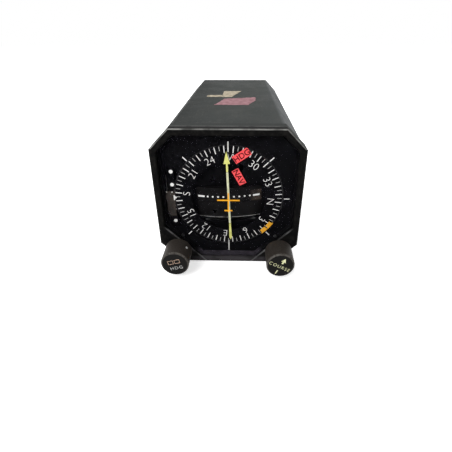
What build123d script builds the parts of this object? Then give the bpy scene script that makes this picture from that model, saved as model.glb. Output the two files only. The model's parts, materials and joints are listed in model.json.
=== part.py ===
from build123d import *

import os
from math import atan2, cos, degrees, hypot, radians, sin, sqrt

# Course deviation indicator of the horizontal kind: a compass card with a course arrow, a
# deviation bar, a heading bug and a glideslope pointer, in a square 3 inch instrument case.
# Millimetres. +Z is up, the dial faces -Y, and the origin is the centre of the face of the
# bezel that seats on the panel. Depths are counted rearwards from the bezel's front rim.

# Bezel and case
bezel_width = 82.6
bezel_depth = 11.0
bezel_top_cut = 11.0
bezel_bottom_cut = 13.0
bezel_wall = 2.6
rim_width = 3.7
rim_chamfer = 0.8
window_chamfer = 0.5
knob_block_width = 11.0
panel_lip = 1.2
seat_width = 0.6
seat_step = 0.8
case_front = 12.0
case_wall = 1.0
case_edge_radius = 1.5
rear_plate_thickness = 3.0
slip_gap = 0.1

# Glass, surround and mask
glass_setback = 1.5
glass_thickness = 1.5
glass_lip = 1.0
surround_depth = 2.5
surround_foot = 1.9
mask_thickness = 0.4
aperture_radius = 31.6
airplane_span = 12.8
airplane_nose = 4.5
airplane_tail = 7.6
airplane_tail_span = 4.6
airplane_line = 0.75
airplane_thickness = 0.25
lubber_width = 0.9
lubber_thickness = 0.12
top_lubber_inner = 27.6
bottom_lubber_inner = 28.8
lubber_outer = 36.2
lubber_top_outer = 33.3

# Layers between the mask and the card
layer_gap = 0.1
flag_thickness = 0.2
bug_thickness = 0.2

# Compass card, its drum and its drive
card_radius = 30.9
card_opening = 21.5
card_thickness = 0.8
drum_wall = 1.3
drum_length = 5.6
drum_floor = 1.0
card_hub_radius = 25.0
card_hub_wall = 1.5
carrier_holes = 12
carrier_hole_radius = 1.3
bearing_width = 5.0
bearing_wall = 2.0
running_clearance = 0.05
card_gear_width = 1.6
gear_module = 0.6
tooth_root = 1.15
tooth_tip = 0.9
root_share = 0.29
tip_share = 0.13
card_gear_teeth = 96
servo_teeth = 12
servo_angle = 135.0
synchro_angle = 45.0
pinion_shaft_radius = 0.8
motor_radius = 6.0
pinion_shaft_length = 8.0
pinion_reach = 7.0
motor_length = 36.0
synchro_length = 30.0
motor_groove = 0.6
motor_groove_start = 3.0
motor_groove_width = 1.5

# Heading bug ring outside the card's drum
bug_ring_gap = 0.1
bug_ring_wall = 0.5
bug_inner = 28.9
bug_clock = 131.0
bug_half_width = 8.0
bug_notch = 1.0
bug_notch_depth = 1.7
bug_gear_teeth = 108
bug_gear_width = 1.2

# Course assembly, turned to its set course
course_turn = 2.26
course_disc_gap = 0.4
course_disc_setback = 3.2
course_disc_thickness = 0.8
arrow_tip = 27.7
arrow_base = 20.6
arrow_width = 3.6
neck_width = 1.0
neck_inner = 15.9
tail_inner = 17.6
tail_outer = 28.8
tail_width = 1.7
post_length = 1.6
scale_half_width = 19.2
scale_top = 5.7
scale_bottom = 13.3
scale_band_top = 4.4
scale_band_bottom = 3.2
scale_band_depth = 0.3
bar_swing_radius = 60.0
bar_thickness = 0.35
bar_width = 1.3
bar_top = 15.5
bar_bottom = 17.0
bar_arm_width = 1.0
bar_reach = 14.0
bar_scale_gap = 0.3
bar_hub_radius = 1.6
spindle_radius = 0.6
spindle_length = 4.0
yoke_wall = 1.2
yoke_foot_length = 5.4
yoke_foot_width = 3.6
yoke_feet = [15, 165, 215, 325]
yoke_clearance = 0.3
yoke_floor = 1.5
yoke_window = 30.0
yoke_window_inset = 7.0
yoke_shaft_radius = 4.0
course_gear_teeth = 84
course_gear_width = 2.0
course_gear_inset = 6.0
meter_radius = 10.0
meter_length = 24.0
meter_foot = 0.5
slip_ring_radius = 7.0
slip_ring_count = 6
slip_ring_pitch = 2.2
slip_ring_groove = 0.6
brush_width = 12.0
brush_height = 9.0

# Flags and the to-from vane
nav_flag_length = 9.9
nav_flag_width = 4.3
nav_flag_x = 6.36
nav_flag_z = 11.34
nav_flag_angle = -63.7
nav_pivot_x = -5.5
nav_pivot_z = 17.4
nav_flag_stand = 1.1
flag_post = 1.0
nav_swing = 60.0
flag_arm_width = 1.4
flag_hub_radius = 1.2
flag_shaft_radius = 0.5
small_meter_radius = 2.6
small_meter_length = 10.0
small_meter_foot = 4.0
to_from_pivot = 18.6
to_from_reach = 13.6
to_from_swing = 43.5
to_from_size = 3.4
vane_thickness = 0.3
heading_flag_length = 9.9
heading_flag_width = 4.66
heading_flag_x = 7.3
heading_flag_z = 25.4
heading_flag_angle = 33.9
heading_pivot_x = 17.5
heading_pivot_z = 33.1
heading_swing = 42.0
flag_meter_radius = 4.4
flag_meter_length = 12.0

# Glideslope pointer and scale
glide_x = 36.0
glide_plate_width = 4.2
glide_plate_top = 4.0
glide_plate_bottom = 12.0
glide_tip = 2.1
glide_tip_half = 1.4
glide_travel = 15.75
glide_rod_radius = 0.6
glide_sleeve_wall = 0.6
glide_sleeve_length = 4.0
glide_scale_half = 20.0
glide_pocket_depth = 5.4
glide_meter_radius = 3.9

# Front frame
frame_pocket = 0.8
flag_pocket_shift = 7.0
flag_pocket_length = 24.0
flag_pocket_wall = 0.7
frame_cavity_gap = 0.6
frame_floor = 5.5
frame_gear_pocket = 3.0
gear_pocket_gap = 0.5
frame_plate_thickness = 3.0
mid_frame_gap = 1.15
board_length = 67.0
wiring_room = 34.0
post_radius = 2.5
top_post_reach = 31.8
low_post_x = 16.0
low_post_z = 35.0
plate_hole_x = 20.0
plate_hole_z = 18.0
plate_hole_radius = 6.0

# Knobs, shafts and differentials
knob_radius = 7.9
knob_length = 14.5
knob_front = 18.0
knob_chamfer = 0.9
knob_face = 3.0
knob_inset_x = 11.6
knob_inset_z = 11.3
shaft_radius = 1.5875
bush_radius = 2.4
bush_stand = 1.2
knob_teeth = 15
input_teeth = 25
input_gear_width = 2.0
input_gear_ahead = 14.0
input_out = 0.8
axle_radius = 1.0
differential_radius = 7.0

# Fasteners, lamps, boards and the rear
screw_radius = 1.0
screw_head_radius = 1.9
screw_head_height = 1.2
screw_slot = 0.6
cover_screw_grip = 5.0
mask_screw_x = 28.3
mask_screw_z = 25.4
mask_screw_head = 1.1
mask_screw_shank = 0.7
mask_screw_rise = 0.3
mask_screw_length = 5.0
bezel_screw_x = 25.5
bezel_screw_z = 36.2
lamp_radius = 1.4
lamp_length = 6.0
lamp_x = 28.0
lamp_z = 29.0
board_x = 33.0
board_height = 50.0
board_thickness = 1.6
board_part = 12.0
board_part_height = 8.0
connector_z = 6.0
connector_flange = 31.0
connector_flange_thickness = 2.0
connector_radius = 12.5
connector_wall = 1.6
connector_length = 13.0
contact_radius = 0.6
contact_ring = 8.0
contact_inner_ring = 4.0
contact_length = 8.0
contact_recess = 2.0
connector_screw_pitch = 25.0
ground_stud_radius = 2.0
ground_stud_length = 9.0
ground_x = 27.0
ground_z = 25.0

# Places that follow from the sizes above
bezel_half = bezel_width / 2
case_half = bezel_half - panel_lip
case_inner = case_half - case_wall
seat_line = 2 * bezel_half - sqrt(2) * (seat_width + slip_gap)
case_top_cut = 2 * case_half - seat_line + bezel_top_cut
case_bottom_cut = 2 * case_half - seat_line + bezel_bottom_cut
frame_half = min(bezel_half - bezel_wall, case_inner) - slip_gap
corner_share = 2 - sqrt(2)
block_line = (2 * bezel_half - bezel_bottom_cut) / sqrt(2) - knob_block_width
knob_x = bezel_half - knob_inset_x
knob_z = bezel_half - knob_inset_z

glass_rear = glass_setback + glass_thickness
mask_front = glass_rear + surround_depth
mask_rear = mask_front + mask_thickness
flag_front = mask_rear + layer_gap
bug_front = flag_front + flag_thickness + layer_gap
card_front = bug_front + bug_thickness + layer_gap
card_rear = card_front + card_thickness
course_front = card_rear + course_disc_setback
course_rear = course_front + course_disc_thickness
arm_front = course_rear + layer_gap
arm_rear = arm_front + vane_thickness
drum_rear = card_rear + drum_length
frame_floor_front = drum_rear + drum_floor + 4 * layer_gap
gear_pocket_front = frame_floor_front + frame_floor
frame_rear = gear_pocket_front + frame_gear_pocket
card_gear_front = gear_pocket_front + 3 * layer_gap
bug_ring_inner = card_radius + bug_ring_gap
bug_gear_tip = gear_module * (bug_gear_teeth / 2 + tooth_tip)
bug_ring_rear = drum_rear + drum_floor
cavity_radius = bug_gear_tip + frame_cavity_gap
bearing_outer = card_hub_radius + running_clearance + bearing_wall
servo_reach = gear_module * (card_gear_teeth + servo_teeth) / 2
yoke_radius = card_hub_radius - card_hub_wall - yoke_clearance
yoke_front = arm_rear + 3 * layer_gap
pivot_depth = card_front - layer_gap + bar_thickness + bar_swing_radius
course_disc_radius = card_radius - drum_wall - course_disc_gap
slot_reach = bar_reach + 1.5
bar_arm_z = bar_bottom - bar_arm_width / 2
differential_x = knob_x + input_out
input_reach = gear_module * (knob_teeth + input_teeth) / 2
differential_z = knob_z - sqrt(input_reach**2 - input_out**2)
yoke_floor_front = pivot_depth + meter_radius + meter_foot
yoke_rear = yoke_floor_front + yoke_floor
mid_frame_depth = yoke_rear + mid_frame_gap
mid_frame_rear = mid_frame_depth + frame_plate_thickness
rear_frame_depth = mid_frame_rear + board_length
rear_plate_front = rear_frame_depth + frame_plate_thickness + wiring_room
case_rear = rear_plate_front + rear_plate_thickness
input_gear_front = mid_frame_depth - input_gear_ahead
top_posts = [(-top_post_reach, top_post_reach), (top_post_reach, top_post_reach)]
low_posts = [(-low_post_x, -low_post_z), (low_post_x, -low_post_z)]
posts = top_posts + low_posts
knob_places = [(-knob_x, -knob_z), (knob_x, -knob_z)]

os.makedirs("parts", exist_ok=True)


def facing(depth, turn=0.0, x=0.0, z=0.0):
    """The plane of the dial at a depth behind the rim, turned anticlockwise as the pilot sees it."""
    across = (cos(radians(turn)), 0, sin(radians(turn)))
    return Plane(origin=(x, depth - bezel_depth, z), x_dir=across, z_dir=(0, -1, 0))


def across_arrow(height):
    """The plane square to the course arrow at a height along it, with depth as its second axis."""
    turn = radians(course_turn)
    origin = (-height * sin(turn), -bezel_depth, height * cos(turn))
    return Plane(origin=origin, x_dir=(cos(turn), 0, sin(turn)), z_dir=(-sin(turn), 0, cos(turn)))


def eight_corners(half, top_cut, bottom_cut, inset=0.0):
    """Draw a square with cut corners, moved inwards by an inset on every side."""
    side = half - inset
    top = side - max(top_cut - corner_share * inset, 0.1)
    low = side - max(bottom_cut - corner_share * inset, 0.1)
    right = [(top, side), (side, top), (side, -low), (low, -side)]
    left = [(-low, -side), (-side, -low), (-side, top), (-top, side)]
    Polygon(*right, *left, align=None)


def window_corners(inset):
    """Draw the bezel's window, whose lower corners run along the knob blocks."""
    side = bezel_half - rim_width - inset
    top = side - (bezel_top_cut - corner_share * (rim_width + inset))
    low = sqrt(2) * (block_line - inset) - side
    right = [(top, side), (side, top), (side, -low), (low, -side)]
    left = [(-low, -side), (-side, -low), (-side, top), (-top, side)]
    Polygon(*right, *left, align=None)


def case_corners(inset=0.0):
    """Draw the case's section, moved inwards by an inset."""
    eight_corners(case_half, case_top_cut, case_bottom_cut, inset)


def toothed_wheel(teeth, start=0.0):
    """Draw a wheel of straight-sided teeth, the first at the angle start."""
    pitch = gear_module * teeth / 2
    root = pitch - tooth_root * gear_module
    tip = pitch + tooth_tip * gear_module
    flank = [(root, -root_share), (tip, -tip_share), (tip, tip_share), (root, root_share)]
    points = []
    for tooth in range(teeth):
        for radius, share in flank:
            angle = radians(start + 360.0 * (tooth + share) / teeth)
            points.append((radius * cos(angle), radius * sin(angle)))
    Polygon(*points, align=None)


def flat_arm(x, z, reach, angle):
    """Draw a flat arm with a round hub at x, z and its far end at a reach and an angle."""
    with Locations((x, z)):
        Circle(flag_hub_radius)
    middle = (x + reach / 2 * cos(radians(angle)), z + reach / 2 * sin(radians(angle)), 0)
    with Locations(Location(middle, (0, 0, angle))):
        Rectangle(reach, flag_arm_width)


def finish(piece, label):
    """Name a piece and write it to its own file."""
    piece.part.label = label
    export_step(piece.part, f"parts/{label}.step")


# Bezel: a cut-cornered frame whose lower corners are solid blocks for the knob shafts
with BuildPart() as bezel:
    with BuildSketch(facing(0)):
        eight_corners(bezel_half, bezel_top_cut, bezel_bottom_cut)
    extrude(amount=-bezel_depth)
    chamfer(bezel.faces().sort_by(Axis.Y)[0].edges(), length=rim_chamfer)
    with BuildSketch(facing(0)):
        window_corners(0)
    extrude(amount=-glass_setback, mode=Mode.SUBTRACT)
    rim_face = bezel.faces().filter_by(Axis.Y).sort_by(Axis.Y)[0]
    chamfer(rim_face.inner_wires()[0].edges(), length=window_chamfer)
    with BuildSketch(facing(glass_setback)):
        window_corners(-glass_lip)
    extrude(amount=glass_setback - mask_front, mode=Mode.SUBTRACT)
    with BuildSketch(facing(mask_front)):
        eight_corners(bezel_half, bezel_top_cut, bezel_bottom_cut, bezel_wall)
    extrude(amount=mask_front - bezel_depth, mode=Mode.SUBTRACT)
    with BuildSketch(facing(bezel_depth - seat_step)):
        eight_corners(bezel_half, bezel_top_cut, bezel_bottom_cut, seat_width)
    extrude(amount=-seat_step, mode=Mode.SUBTRACT)
    with BuildSketch(facing(0)):
        with Locations(*knob_places):
            Circle(bush_radius)
    extrude(amount=-mask_front, mode=Mode.SUBTRACT)
    with BuildSketch(facing(glass_rear)):
        with Locations((-bezel_screw_x, -bezel_screw_z), (bezel_screw_x, -bezel_screw_z)):
            Circle(screw_radius)
    extrude(amount=glass_rear - mask_front, mode=Mode.SUBTRACT)
finish(bezel, "bezel")

# Glass, slipped into the bezel from behind
with BuildPart() as front_glass:
    with BuildSketch(facing(glass_setback)):
        window_corners(slip_gap - glass_lip)
    extrude(amount=-glass_thickness)
finish(front_glass, "front_glass")

# Fixed airplane symbol, bonded to the rear of the glass
with BuildPart() as airplane_symbol:
    with BuildSketch(facing(glass_rear)):
        Rectangle(airplane_span, airplane_line)
        with Locations((0, (airplane_nose - airplane_tail) / 2)):
            Rectangle(airplane_line, airplane_nose + airplane_tail)
        with Locations((0, 1 - airplane_tail)):
            Rectangle(airplane_tail_span, airplane_line)
    extrude(amount=-airplane_thickness)
finish(airplane_symbol, "airplane_symbol")

# Surround: a frame with sloping walls that carries the eye from the glass down to the mask
with BuildPart() as dial_surround:
    with BuildSketch(facing(glass_rear)):
        window_corners(slip_gap - glass_lip)
    extrude(amount=-surround_depth)
    with BuildSketch(facing(glass_rear)):
        window_corners(0)
    with BuildSketch(facing(mask_front)):
        window_corners(surround_foot - glass_lip)
    loft(mode=Mode.SUBTRACT)
    with BuildSketch(facing(glass_rear)):
        with Locations((-mask_screw_x, -mask_screw_z), (mask_screw_x, -mask_screw_z)):
            Circle(mask_screw_head + 2 * slip_gap)
    extrude(amount=-surround_depth, mode=Mode.SUBTRACT)
finish(dial_surround, "dial_surround")

# Mask: a thin plate with the round opening over the card and the glideslope window
glide_window_left = glide_x + 0.5
window_left = 2 - glide_x
window_right = 3 - aperture_radius
window_half = glide_scale_half - 1
with BuildPart() as dial_mask:
    with BuildSketch(facing(mask_front)):
        eight_corners(bezel_half, bezel_top_cut, bezel_bottom_cut, bezel_wall + slip_gap)
        Circle(aperture_radius, mode=Mode.SUBTRACT)
        with BuildLine(mode=Mode.PRIVATE) as window_edge:
            Line((window_right, window_half), (window_left, window_half))
            ThreePointArc((window_left, window_half), (-glide_window_left, 0), (window_left, -window_half))
            Line((window_left, -window_half), (window_right, -window_half))
            Line((window_right, -window_half), (window_right, window_half))
        make_face(window_edge.edges(), mode=Mode.SUBTRACT)
        with Locations(*knob_places):
            Circle(bush_radius + slip_gap, mode=Mode.SUBTRACT)
        with Locations((-mask_screw_x, -mask_screw_z), (mask_screw_x, -mask_screw_z)):
            Circle(mask_screw_shank, mode=Mode.SUBTRACT)
        with Locations((-bezel_screw_x, -bezel_screw_z), (bezel_screw_x, -bezel_screw_z)):
            Circle(screw_radius, mode=Mode.SUBTRACT)
    extrude(amount=-mask_thickness)
finish(dial_mask, "dial_mask")

# Lubber lines: two strips on the mask that reach in over the card
with BuildPart() as lubber_lines:
    with BuildSketch(facing(mask_front)):
        with Locations((0, (top_lubber_inner + lubber_top_outer) / 2)):
            Rectangle(lubber_width, lubber_top_outer - top_lubber_inner)
        with Locations((0, -(bottom_lubber_inner + lubber_outer) / 2)):
            Rectangle(lubber_width, lubber_outer - bottom_lubber_inner)
    extrude(amount=lubber_thickness)
finish(lubber_lines, "lubber_lines")

# Glideslope scale: a strip in the mask's window, slotted for the pointer's lug
glide_left = -glide_x - 3 * layer_gap - glide_plate_width * 0.3
scale_thickness = 0.6
glide_slot_width = 1.4
glide_rail_x = -glide_x + 0.1
scale_rear = card_front + scale_thickness
bug_ring_outer = bug_ring_inner + bug_ring_wall
with BuildPart() as glideslope_scale:
    with BuildSketch(facing(card_front)):
        with Locations(((glide_left - aperture_radius + 1.2) / 2, 0)):
            Rectangle(-glide_left - aperture_radius + 1.2, 2 * glide_scale_half)
        Circle(bug_ring_outer + 3 * layer_gap, mode=Mode.SUBTRACT)
        with Locations((glide_rail_x, 0)):
            Rectangle(glide_slot_width, 2 * glide_travel + glide_sleeve_length, mode=Mode.SUBTRACT)
    extrude(amount=-scale_thickness)
finish(glideslope_scale, "glideslope_scale")

# Front frame: the casting that seats in the bezel, carries the card's bearing and every shaft
rod_depth = scale_rear + glide_pocket_depth / 2
rod_hole = glide_travel + glide_sleeve_length / 2 + 5 * layer_gap
glide_pocket_right = aperture_radius - 1.7
glide_pocket_width = -glide_left - glide_pocket_right + 4 * layer_gap
glide_pocket_middle = (glide_plate_top - glide_plate_bottom) / 2
glide_pocket_height = 2 * glide_travel + glide_plate_top + glide_plate_bottom + 14 * layer_gap
servo_x = servo_reach * cos(radians(servo_angle))
servo_z = servo_reach * sin(radians(servo_angle))
synchro_x = servo_reach * cos(radians(synchro_angle))
synchro_z = servo_reach * sin(radians(synchro_angle))
pinion_tip = gear_module * (servo_teeth / 2 + tooth_tip)
card_gear_tip = gear_module * (card_gear_teeth / 2 + tooth_tip)
frame_inset = bezel_half - frame_half
with BuildPart() as front_frame:
    with BuildSketch(facing(mask_rear)):
        eight_corners(bezel_half, bezel_top_cut, bezel_bottom_cut, frame_inset)
    extrude(amount=mask_rear - frame_rear)
    with BuildSketch(facing(mask_rear)):
        Circle(cavity_radius)
    extrude(amount=mask_rear - frame_floor_front, mode=Mode.SUBTRACT)
    with BuildSketch(facing(mask_rear)):
        with Locations((heading_pivot_x - flag_pocket_shift, heading_pivot_z)):
            Rectangle(flag_pocket_length, 2 * (frame_half - flag_pocket_wall - heading_pivot_z))
    extrude(amount=-frame_pocket, mode=Mode.SUBTRACT)
    with BuildSketch(facing(mask_rear)):
        with Locations(((glide_left - glide_pocket_right) / 2, glide_pocket_middle)):
            Rectangle(glide_pocket_width, glide_pocket_height)
    extrude(amount=mask_rear - scale_rear, mode=Mode.SUBTRACT)
    with BuildSketch(facing(scale_rear)):
        with Locations(((glide_left - glide_pocket_right) / 2, 0)):
            Rectangle(glide_pocket_width, 2 * rod_hole)
    extrude(amount=-glide_pocket_depth, mode=Mode.SUBTRACT)
    with BuildSketch(Plane.XY.offset(-glide_scale_half - 1)):
        with Locations((glide_rail_x, rod_depth - bezel_depth)):
            Circle(glide_rod_radius)
    extrude(amount=2 * glide_scale_half + 2, mode=Mode.SUBTRACT)
    with BuildSketch(facing(frame_floor_front)):
        Circle(bearing_outer)
    extrude(amount=frame_floor_front - frame_rear, mode=Mode.SUBTRACT)
    with BuildSketch(facing(gear_pocket_front)):
        Circle(card_gear_tip + gear_pocket_gap)
        with Locations((servo_x, servo_z), (synchro_x, synchro_z)):
            Circle(pinion_tip + gear_pocket_gap)
    extrude(amount=gear_pocket_front - frame_rear, mode=Mode.SUBTRACT)
    with BuildSketch(facing(mask_rear)):
        with Locations(*knob_places):
            Circle(shaft_radius + running_clearance)
        with Locations((-bezel_screw_x, -bezel_screw_z), (bezel_screw_x, -bezel_screw_z)):
            Circle(screw_radius)
        with Locations((heading_pivot_x, heading_pivot_z)):
            Circle(flag_shaft_radius + running_clearance)
    extrude(amount=mask_rear - frame_rear, mode=Mode.SUBTRACT)
    with BuildSketch(facing(mask_rear)):
        with Locations((-mask_screw_x, -mask_screw_z), (mask_screw_x, -mask_screw_z)):
            Circle(mask_screw_shank)
    extrude(amount=-mask_screw_length, mode=Mode.SUBTRACT)
    with BuildSketch(facing(mask_rear)):
        with Locations((-lamp_x, lamp_z), (lamp_x, lamp_z)):
            Circle(lamp_radius)
    extrude(amount=-lamp_length - layer_gap, mode=Mode.SUBTRACT)
finish(front_frame, "front_frame")

# Glideslope guide rod, pressed into the front frame at both ends
with BuildPart() as glideslope_rod:
    with BuildSketch(Plane.XY.offset(-glide_scale_half - 1)):
        with Locations((glide_rail_x, rod_depth - bezel_depth)):
            Circle(glide_rod_radius)
    extrude(amount=2 * glide_scale_half + 2)
finish(glideslope_rod, "glideslope_rod")

# Glideslope pointer: a plate with a triangular tip, a lug through the slot and a sleeve on the rod
glide_right = glide_plate_width - glide_x
with BuildPart() as glideslope_pointer:
    with BuildSketch(facing(flag_front)):
        with Locations((glide_right - glide_plate_width / 2, glide_pocket_middle)):
            Rectangle(glide_plate_width, glide_plate_top + glide_plate_bottom)
        tip_base = [(glide_right, -glide_tip_half), (glide_right, glide_tip_half)]
        Polygon((glide_right + glide_tip, 0), *tip_base, align=None)
    extrude(amount=-flag_thickness)
    with BuildSketch(facing(flag_front + flag_thickness)):
        with Locations((glide_rail_x, 0)):
            Rectangle(glide_slot_width - 4 * layer_gap, glide_sleeve_length * 0.75)
    extrude(amount=flag_front + flag_thickness - rod_depth)
    with BuildSketch(Plane.XY.offset(-glide_sleeve_length / 2)):
        with Locations((glide_rail_x, rod_depth - bezel_depth)):
            Circle(glide_rod_radius + running_clearance + glide_sleeve_wall)
    extrude(amount=glide_sleeve_length)
    with BuildSketch(Plane.XY.offset(-glide_sleeve_length / 2)):
        with Locations((glide_rail_x, rod_depth - bezel_depth)):
            Circle(glide_rod_radius + running_clearance)
    extrude(amount=glide_sleeve_length, mode=Mode.SUBTRACT)
finish(glideslope_pointer, "glideslope_pointer")

# Screws that hold the mask to the front frame, with slotted heads that show through the glass
with BuildPart() as mask_screws:
    with BuildSketch(facing(mask_front)):
        with Locations((-mask_screw_x, -mask_screw_z), (mask_screw_x, -mask_screw_z)):
            Circle(mask_screw_head)
    extrude(amount=mask_screw_rise)
    with BuildSketch(facing(mask_front)):
        with Locations((-mask_screw_x, -mask_screw_z), (mask_screw_x, -mask_screw_z)):
            Circle(mask_screw_shank)
    extrude(amount=-mask_thickness - mask_screw_length + layer_gap)
finish(mask_screws, "mask_screws")

# Long screws from behind the front frame into the bezel's knob blocks
with BuildPart() as bezel_screws:
    with BuildSketch(facing(frame_rear)):
        with Locations((-bezel_screw_x, -bezel_screw_z), (bezel_screw_x, -bezel_screw_z)):
            Circle(screw_head_radius)
    extrude(amount=-screw_head_height)
    with BuildSketch(facing(frame_rear)):
        with Locations((-bezel_screw_x, -bezel_screw_z), (bezel_screw_x, -bezel_screw_z)):
            Circle(screw_radius)
    extrude(amount=frame_rear - glass_rear - layer_gap)
finish(bezel_screws, "bezel_screws")

# Lamps in pockets of the front frame, behind the mask's upper corners
with BuildPart() as dial_lamps:
    with BuildSketch(facing(mask_rear + layer_gap)):
        with Locations((-lamp_x, lamp_z), (lamp_x, lamp_z)):
            Circle(lamp_radius)
    extrude(amount=-lamp_length)
    fillet(dial_lamps.faces().sort_by(Axis.Y)[0].edges(), radius=lamp_radius * 0.6)
finish(dial_lamps, "dial_lamps")

# Knob bushes in the bezel's blocks
with BuildPart() as knob_bushes:
    with BuildSketch(facing(-bush_stand)):
        with Locations(*knob_places):
            Circle(bush_radius)
            Circle(shaft_radius + running_clearance, mode=Mode.SUBTRACT)
    extrude(amount=-bush_stand - mask_rear)
finish(knob_bushes, "knob_bushes")

# Card bearing in the front frame
with BuildPart() as card_bearing:
    with BuildSketch(facing(frame_floor_front)):
        Circle(bearing_outer)
        Circle(card_hub_radius + running_clearance, mode=Mode.SUBTRACT)
    extrude(amount=-bearing_width)
finish(card_bearing, "card_bearing")

# Compass card: the ring that holds the numerals
with BuildPart() as compass_card:
    with BuildSketch(facing(card_front)):
        Circle(card_radius)
        Circle(card_opening, mode=Mode.SUBTRACT)
    extrude(amount=-card_thickness)
finish(compass_card, "compass_card")

# Card carrier: drum, lightened floor and hollow hub in one piece
carrier_rear = card_gear_front + card_gear_width
with BuildPart() as card_carrier:
    with BuildSketch(facing(card_rear)):
        Circle(card_radius)
        Circle(card_radius - drum_wall, mode=Mode.SUBTRACT)
    extrude(amount=-drum_length)
    with BuildSketch(facing(drum_rear)):
        Circle(card_radius)
        Circle(card_hub_radius - card_hub_wall, mode=Mode.SUBTRACT)
        with PolarLocations((card_radius - drum_wall + card_hub_radius) / 2, carrier_holes):
            Circle(carrier_hole_radius, mode=Mode.SUBTRACT)
    extrude(amount=-drum_floor)
    with BuildSketch(facing(drum_rear + drum_floor)):
        Circle(card_hub_radius)
        Circle(card_hub_radius - card_hub_wall, mode=Mode.SUBTRACT)
    extrude(amount=drum_rear + drum_floor - carrier_rear)
finish(card_carrier, "card_carrier")

# Card gear, turned by the servo's pinion and turning the synchro's
with BuildPart() as card_gear:
    with BuildSketch(facing(card_gear_front)):
        toothed_wheel(card_gear_teeth, servo_angle)
        Circle(card_hub_radius, mode=Mode.SUBTRACT)
    extrude(amount=-card_gear_width)
finish(card_gear, "card_gear")

# Motor and synchro with their pinions, both on the rear of the front frame
for motor, pinion, angle, x, z, length in [
    ("servo_motor", "servo_pinion", servo_angle, servo_x, servo_z, motor_length),
    ("heading_synchro", "synchro_pinion", synchro_angle, synchro_x, synchro_z, synchro_length),
]:
    with BuildPart() as motor_body:
        with BuildSketch(facing(frame_rear)):
            with Locations((x, z)):
                Circle(motor_radius)
        extrude(amount=-length)
        with BuildSketch(facing(frame_rear + motor_groove_start)):
            with Locations((x, z)):
                Circle(motor_radius)
                Circle(motor_radius - motor_groove, mode=Mode.SUBTRACT)
        extrude(amount=-motor_groove_width, mode=Mode.SUBTRACT)
        with BuildSketch(facing(frame_rear)):
            with Locations((x, z)):
                Circle(pinion_shaft_radius + running_clearance)
        extrude(amount=-pinion_shaft_length, mode=Mode.SUBTRACT)
    finish(motor_body, motor)
    with BuildPart() as motor_pinion:
        with BuildSketch(facing(card_gear_front, 0, x, z)):
            toothed_wheel(servo_teeth, angle + 180 + 180 / servo_teeth)
        extrude(amount=-card_gear_width)
        with BuildSketch(facing(card_gear_front + card_gear_width)):
            with Locations((x, z)):
                Circle(pinion_shaft_radius)
        extrude(amount=card_gear_front + card_gear_width - frame_rear - pinion_reach)
    finish(motor_pinion, pinion)

# Heading bug: two blocks on a thin toothed ring that runs round the card's drum
bug_gear_front = bug_ring_rear - bug_gear_width
wedge = 2 * card_radius
bug_middle = 90 - bug_clock
bug_low = radians(bug_middle - bug_half_width)
bug_high = radians(bug_middle + bug_half_width)
with BuildPart() as heading_bug:
    with BuildSketch(facing(bug_front)):
        low_corner = (wedge * cos(bug_low), wedge * sin(bug_low))
        high_corner = (wedge * cos(bug_high), wedge * sin(bug_high))
        Polygon((0, 0), low_corner, high_corner, align=None)
        Circle(bug_ring_outer, mode=Mode.INTERSECT)
        Circle(bug_inner, mode=Mode.SUBTRACT)
        with PolarLocations(bug_inner, 1, start_angle=bug_middle):
            Rectangle(2 * bug_notch_depth, bug_notch, mode=Mode.SUBTRACT)
    extrude(amount=-bug_thickness)
    with BuildSketch(facing(bug_front)):
        Circle(bug_ring_outer)
        Circle(bug_ring_inner, mode=Mode.SUBTRACT)
    extrude(amount=bug_front - bug_ring_rear)
    with BuildSketch(facing(bug_gear_front)):
        toothed_wheel(bug_gear_teeth, 0)
        Circle(bug_ring_inner, mode=Mode.SUBTRACT)
    extrude(amount=-bug_gear_width)
finish(heading_bug, "heading_bug")

# Course disc: the black floor inside the card, with the slots that the bar's arm and the
# navigation flag's post travel in, and the two arrow windows of the to-from vane
nav_reach = hypot(nav_flag_x - nav_pivot_x, nav_flag_z - nav_pivot_z)
nav_start = degrees(atan2(nav_flag_z - nav_pivot_z, nav_flag_x - nav_pivot_x))
to_from_x = to_from_reach * cos(radians(to_from_swing)) - to_from_pivot
to_from_z = to_from_reach * sin(radians(to_from_swing))
slot_height = flag_post + 8 * layer_gap
with BuildPart() as course_disc:
    with BuildSketch(facing(course_front, course_turn)):
        Circle(course_disc_radius)
        with Locations((0, -bar_arm_z)):
            SlotOverall(2 * slot_reach, bar_arm_width + 8 * layer_gap, mode=Mode.SUBTRACT)
        with BuildLine(mode=Mode.PRIVATE) as flag_path:
            CenterArc((nav_pivot_x, nav_pivot_z), nav_reach, nav_start, nav_swing)
        SlotArc(flag_path.edges()[0], slot_height, mode=Mode.SUBTRACT)
        with Locations((to_from_x, to_from_z)):
            RegularPolygon(to_from_size / sqrt(3), 3, rotation=90, mode=Mode.SUBTRACT)
        with Locations((to_from_x, -to_from_z)):
            RegularPolygon(to_from_size / sqrt(3), 3, rotation=-90, mode=Mode.SUBTRACT)
    extrude(amount=-course_disc_thickness)
finish(course_disc, "course_disc")

# Course arrow and its tail lie over the card, each on a post from the course disc
arrow_rear = bug_front + bug_thickness
with BuildPart() as course_arrow:
    with BuildSketch(facing(bug_front, course_turn)):
        Polygon((-arrow_width / 2, arrow_base), (arrow_width / 2, arrow_base), (0, arrow_tip), align=None)
        with Locations((0, (neck_inner + arrow_base) / 2)):
            Rectangle(neck_width, arrow_base - neck_inner)
    extrude(amount=-bug_thickness)
    with BuildSketch(facing(arrow_rear, course_turn)):
        with Locations((0, neck_inner + post_length / 2)):
            Rectangle(neck_width, post_length)
    extrude(amount=arrow_rear - course_front)
finish(course_arrow, "course_arrow")

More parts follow.
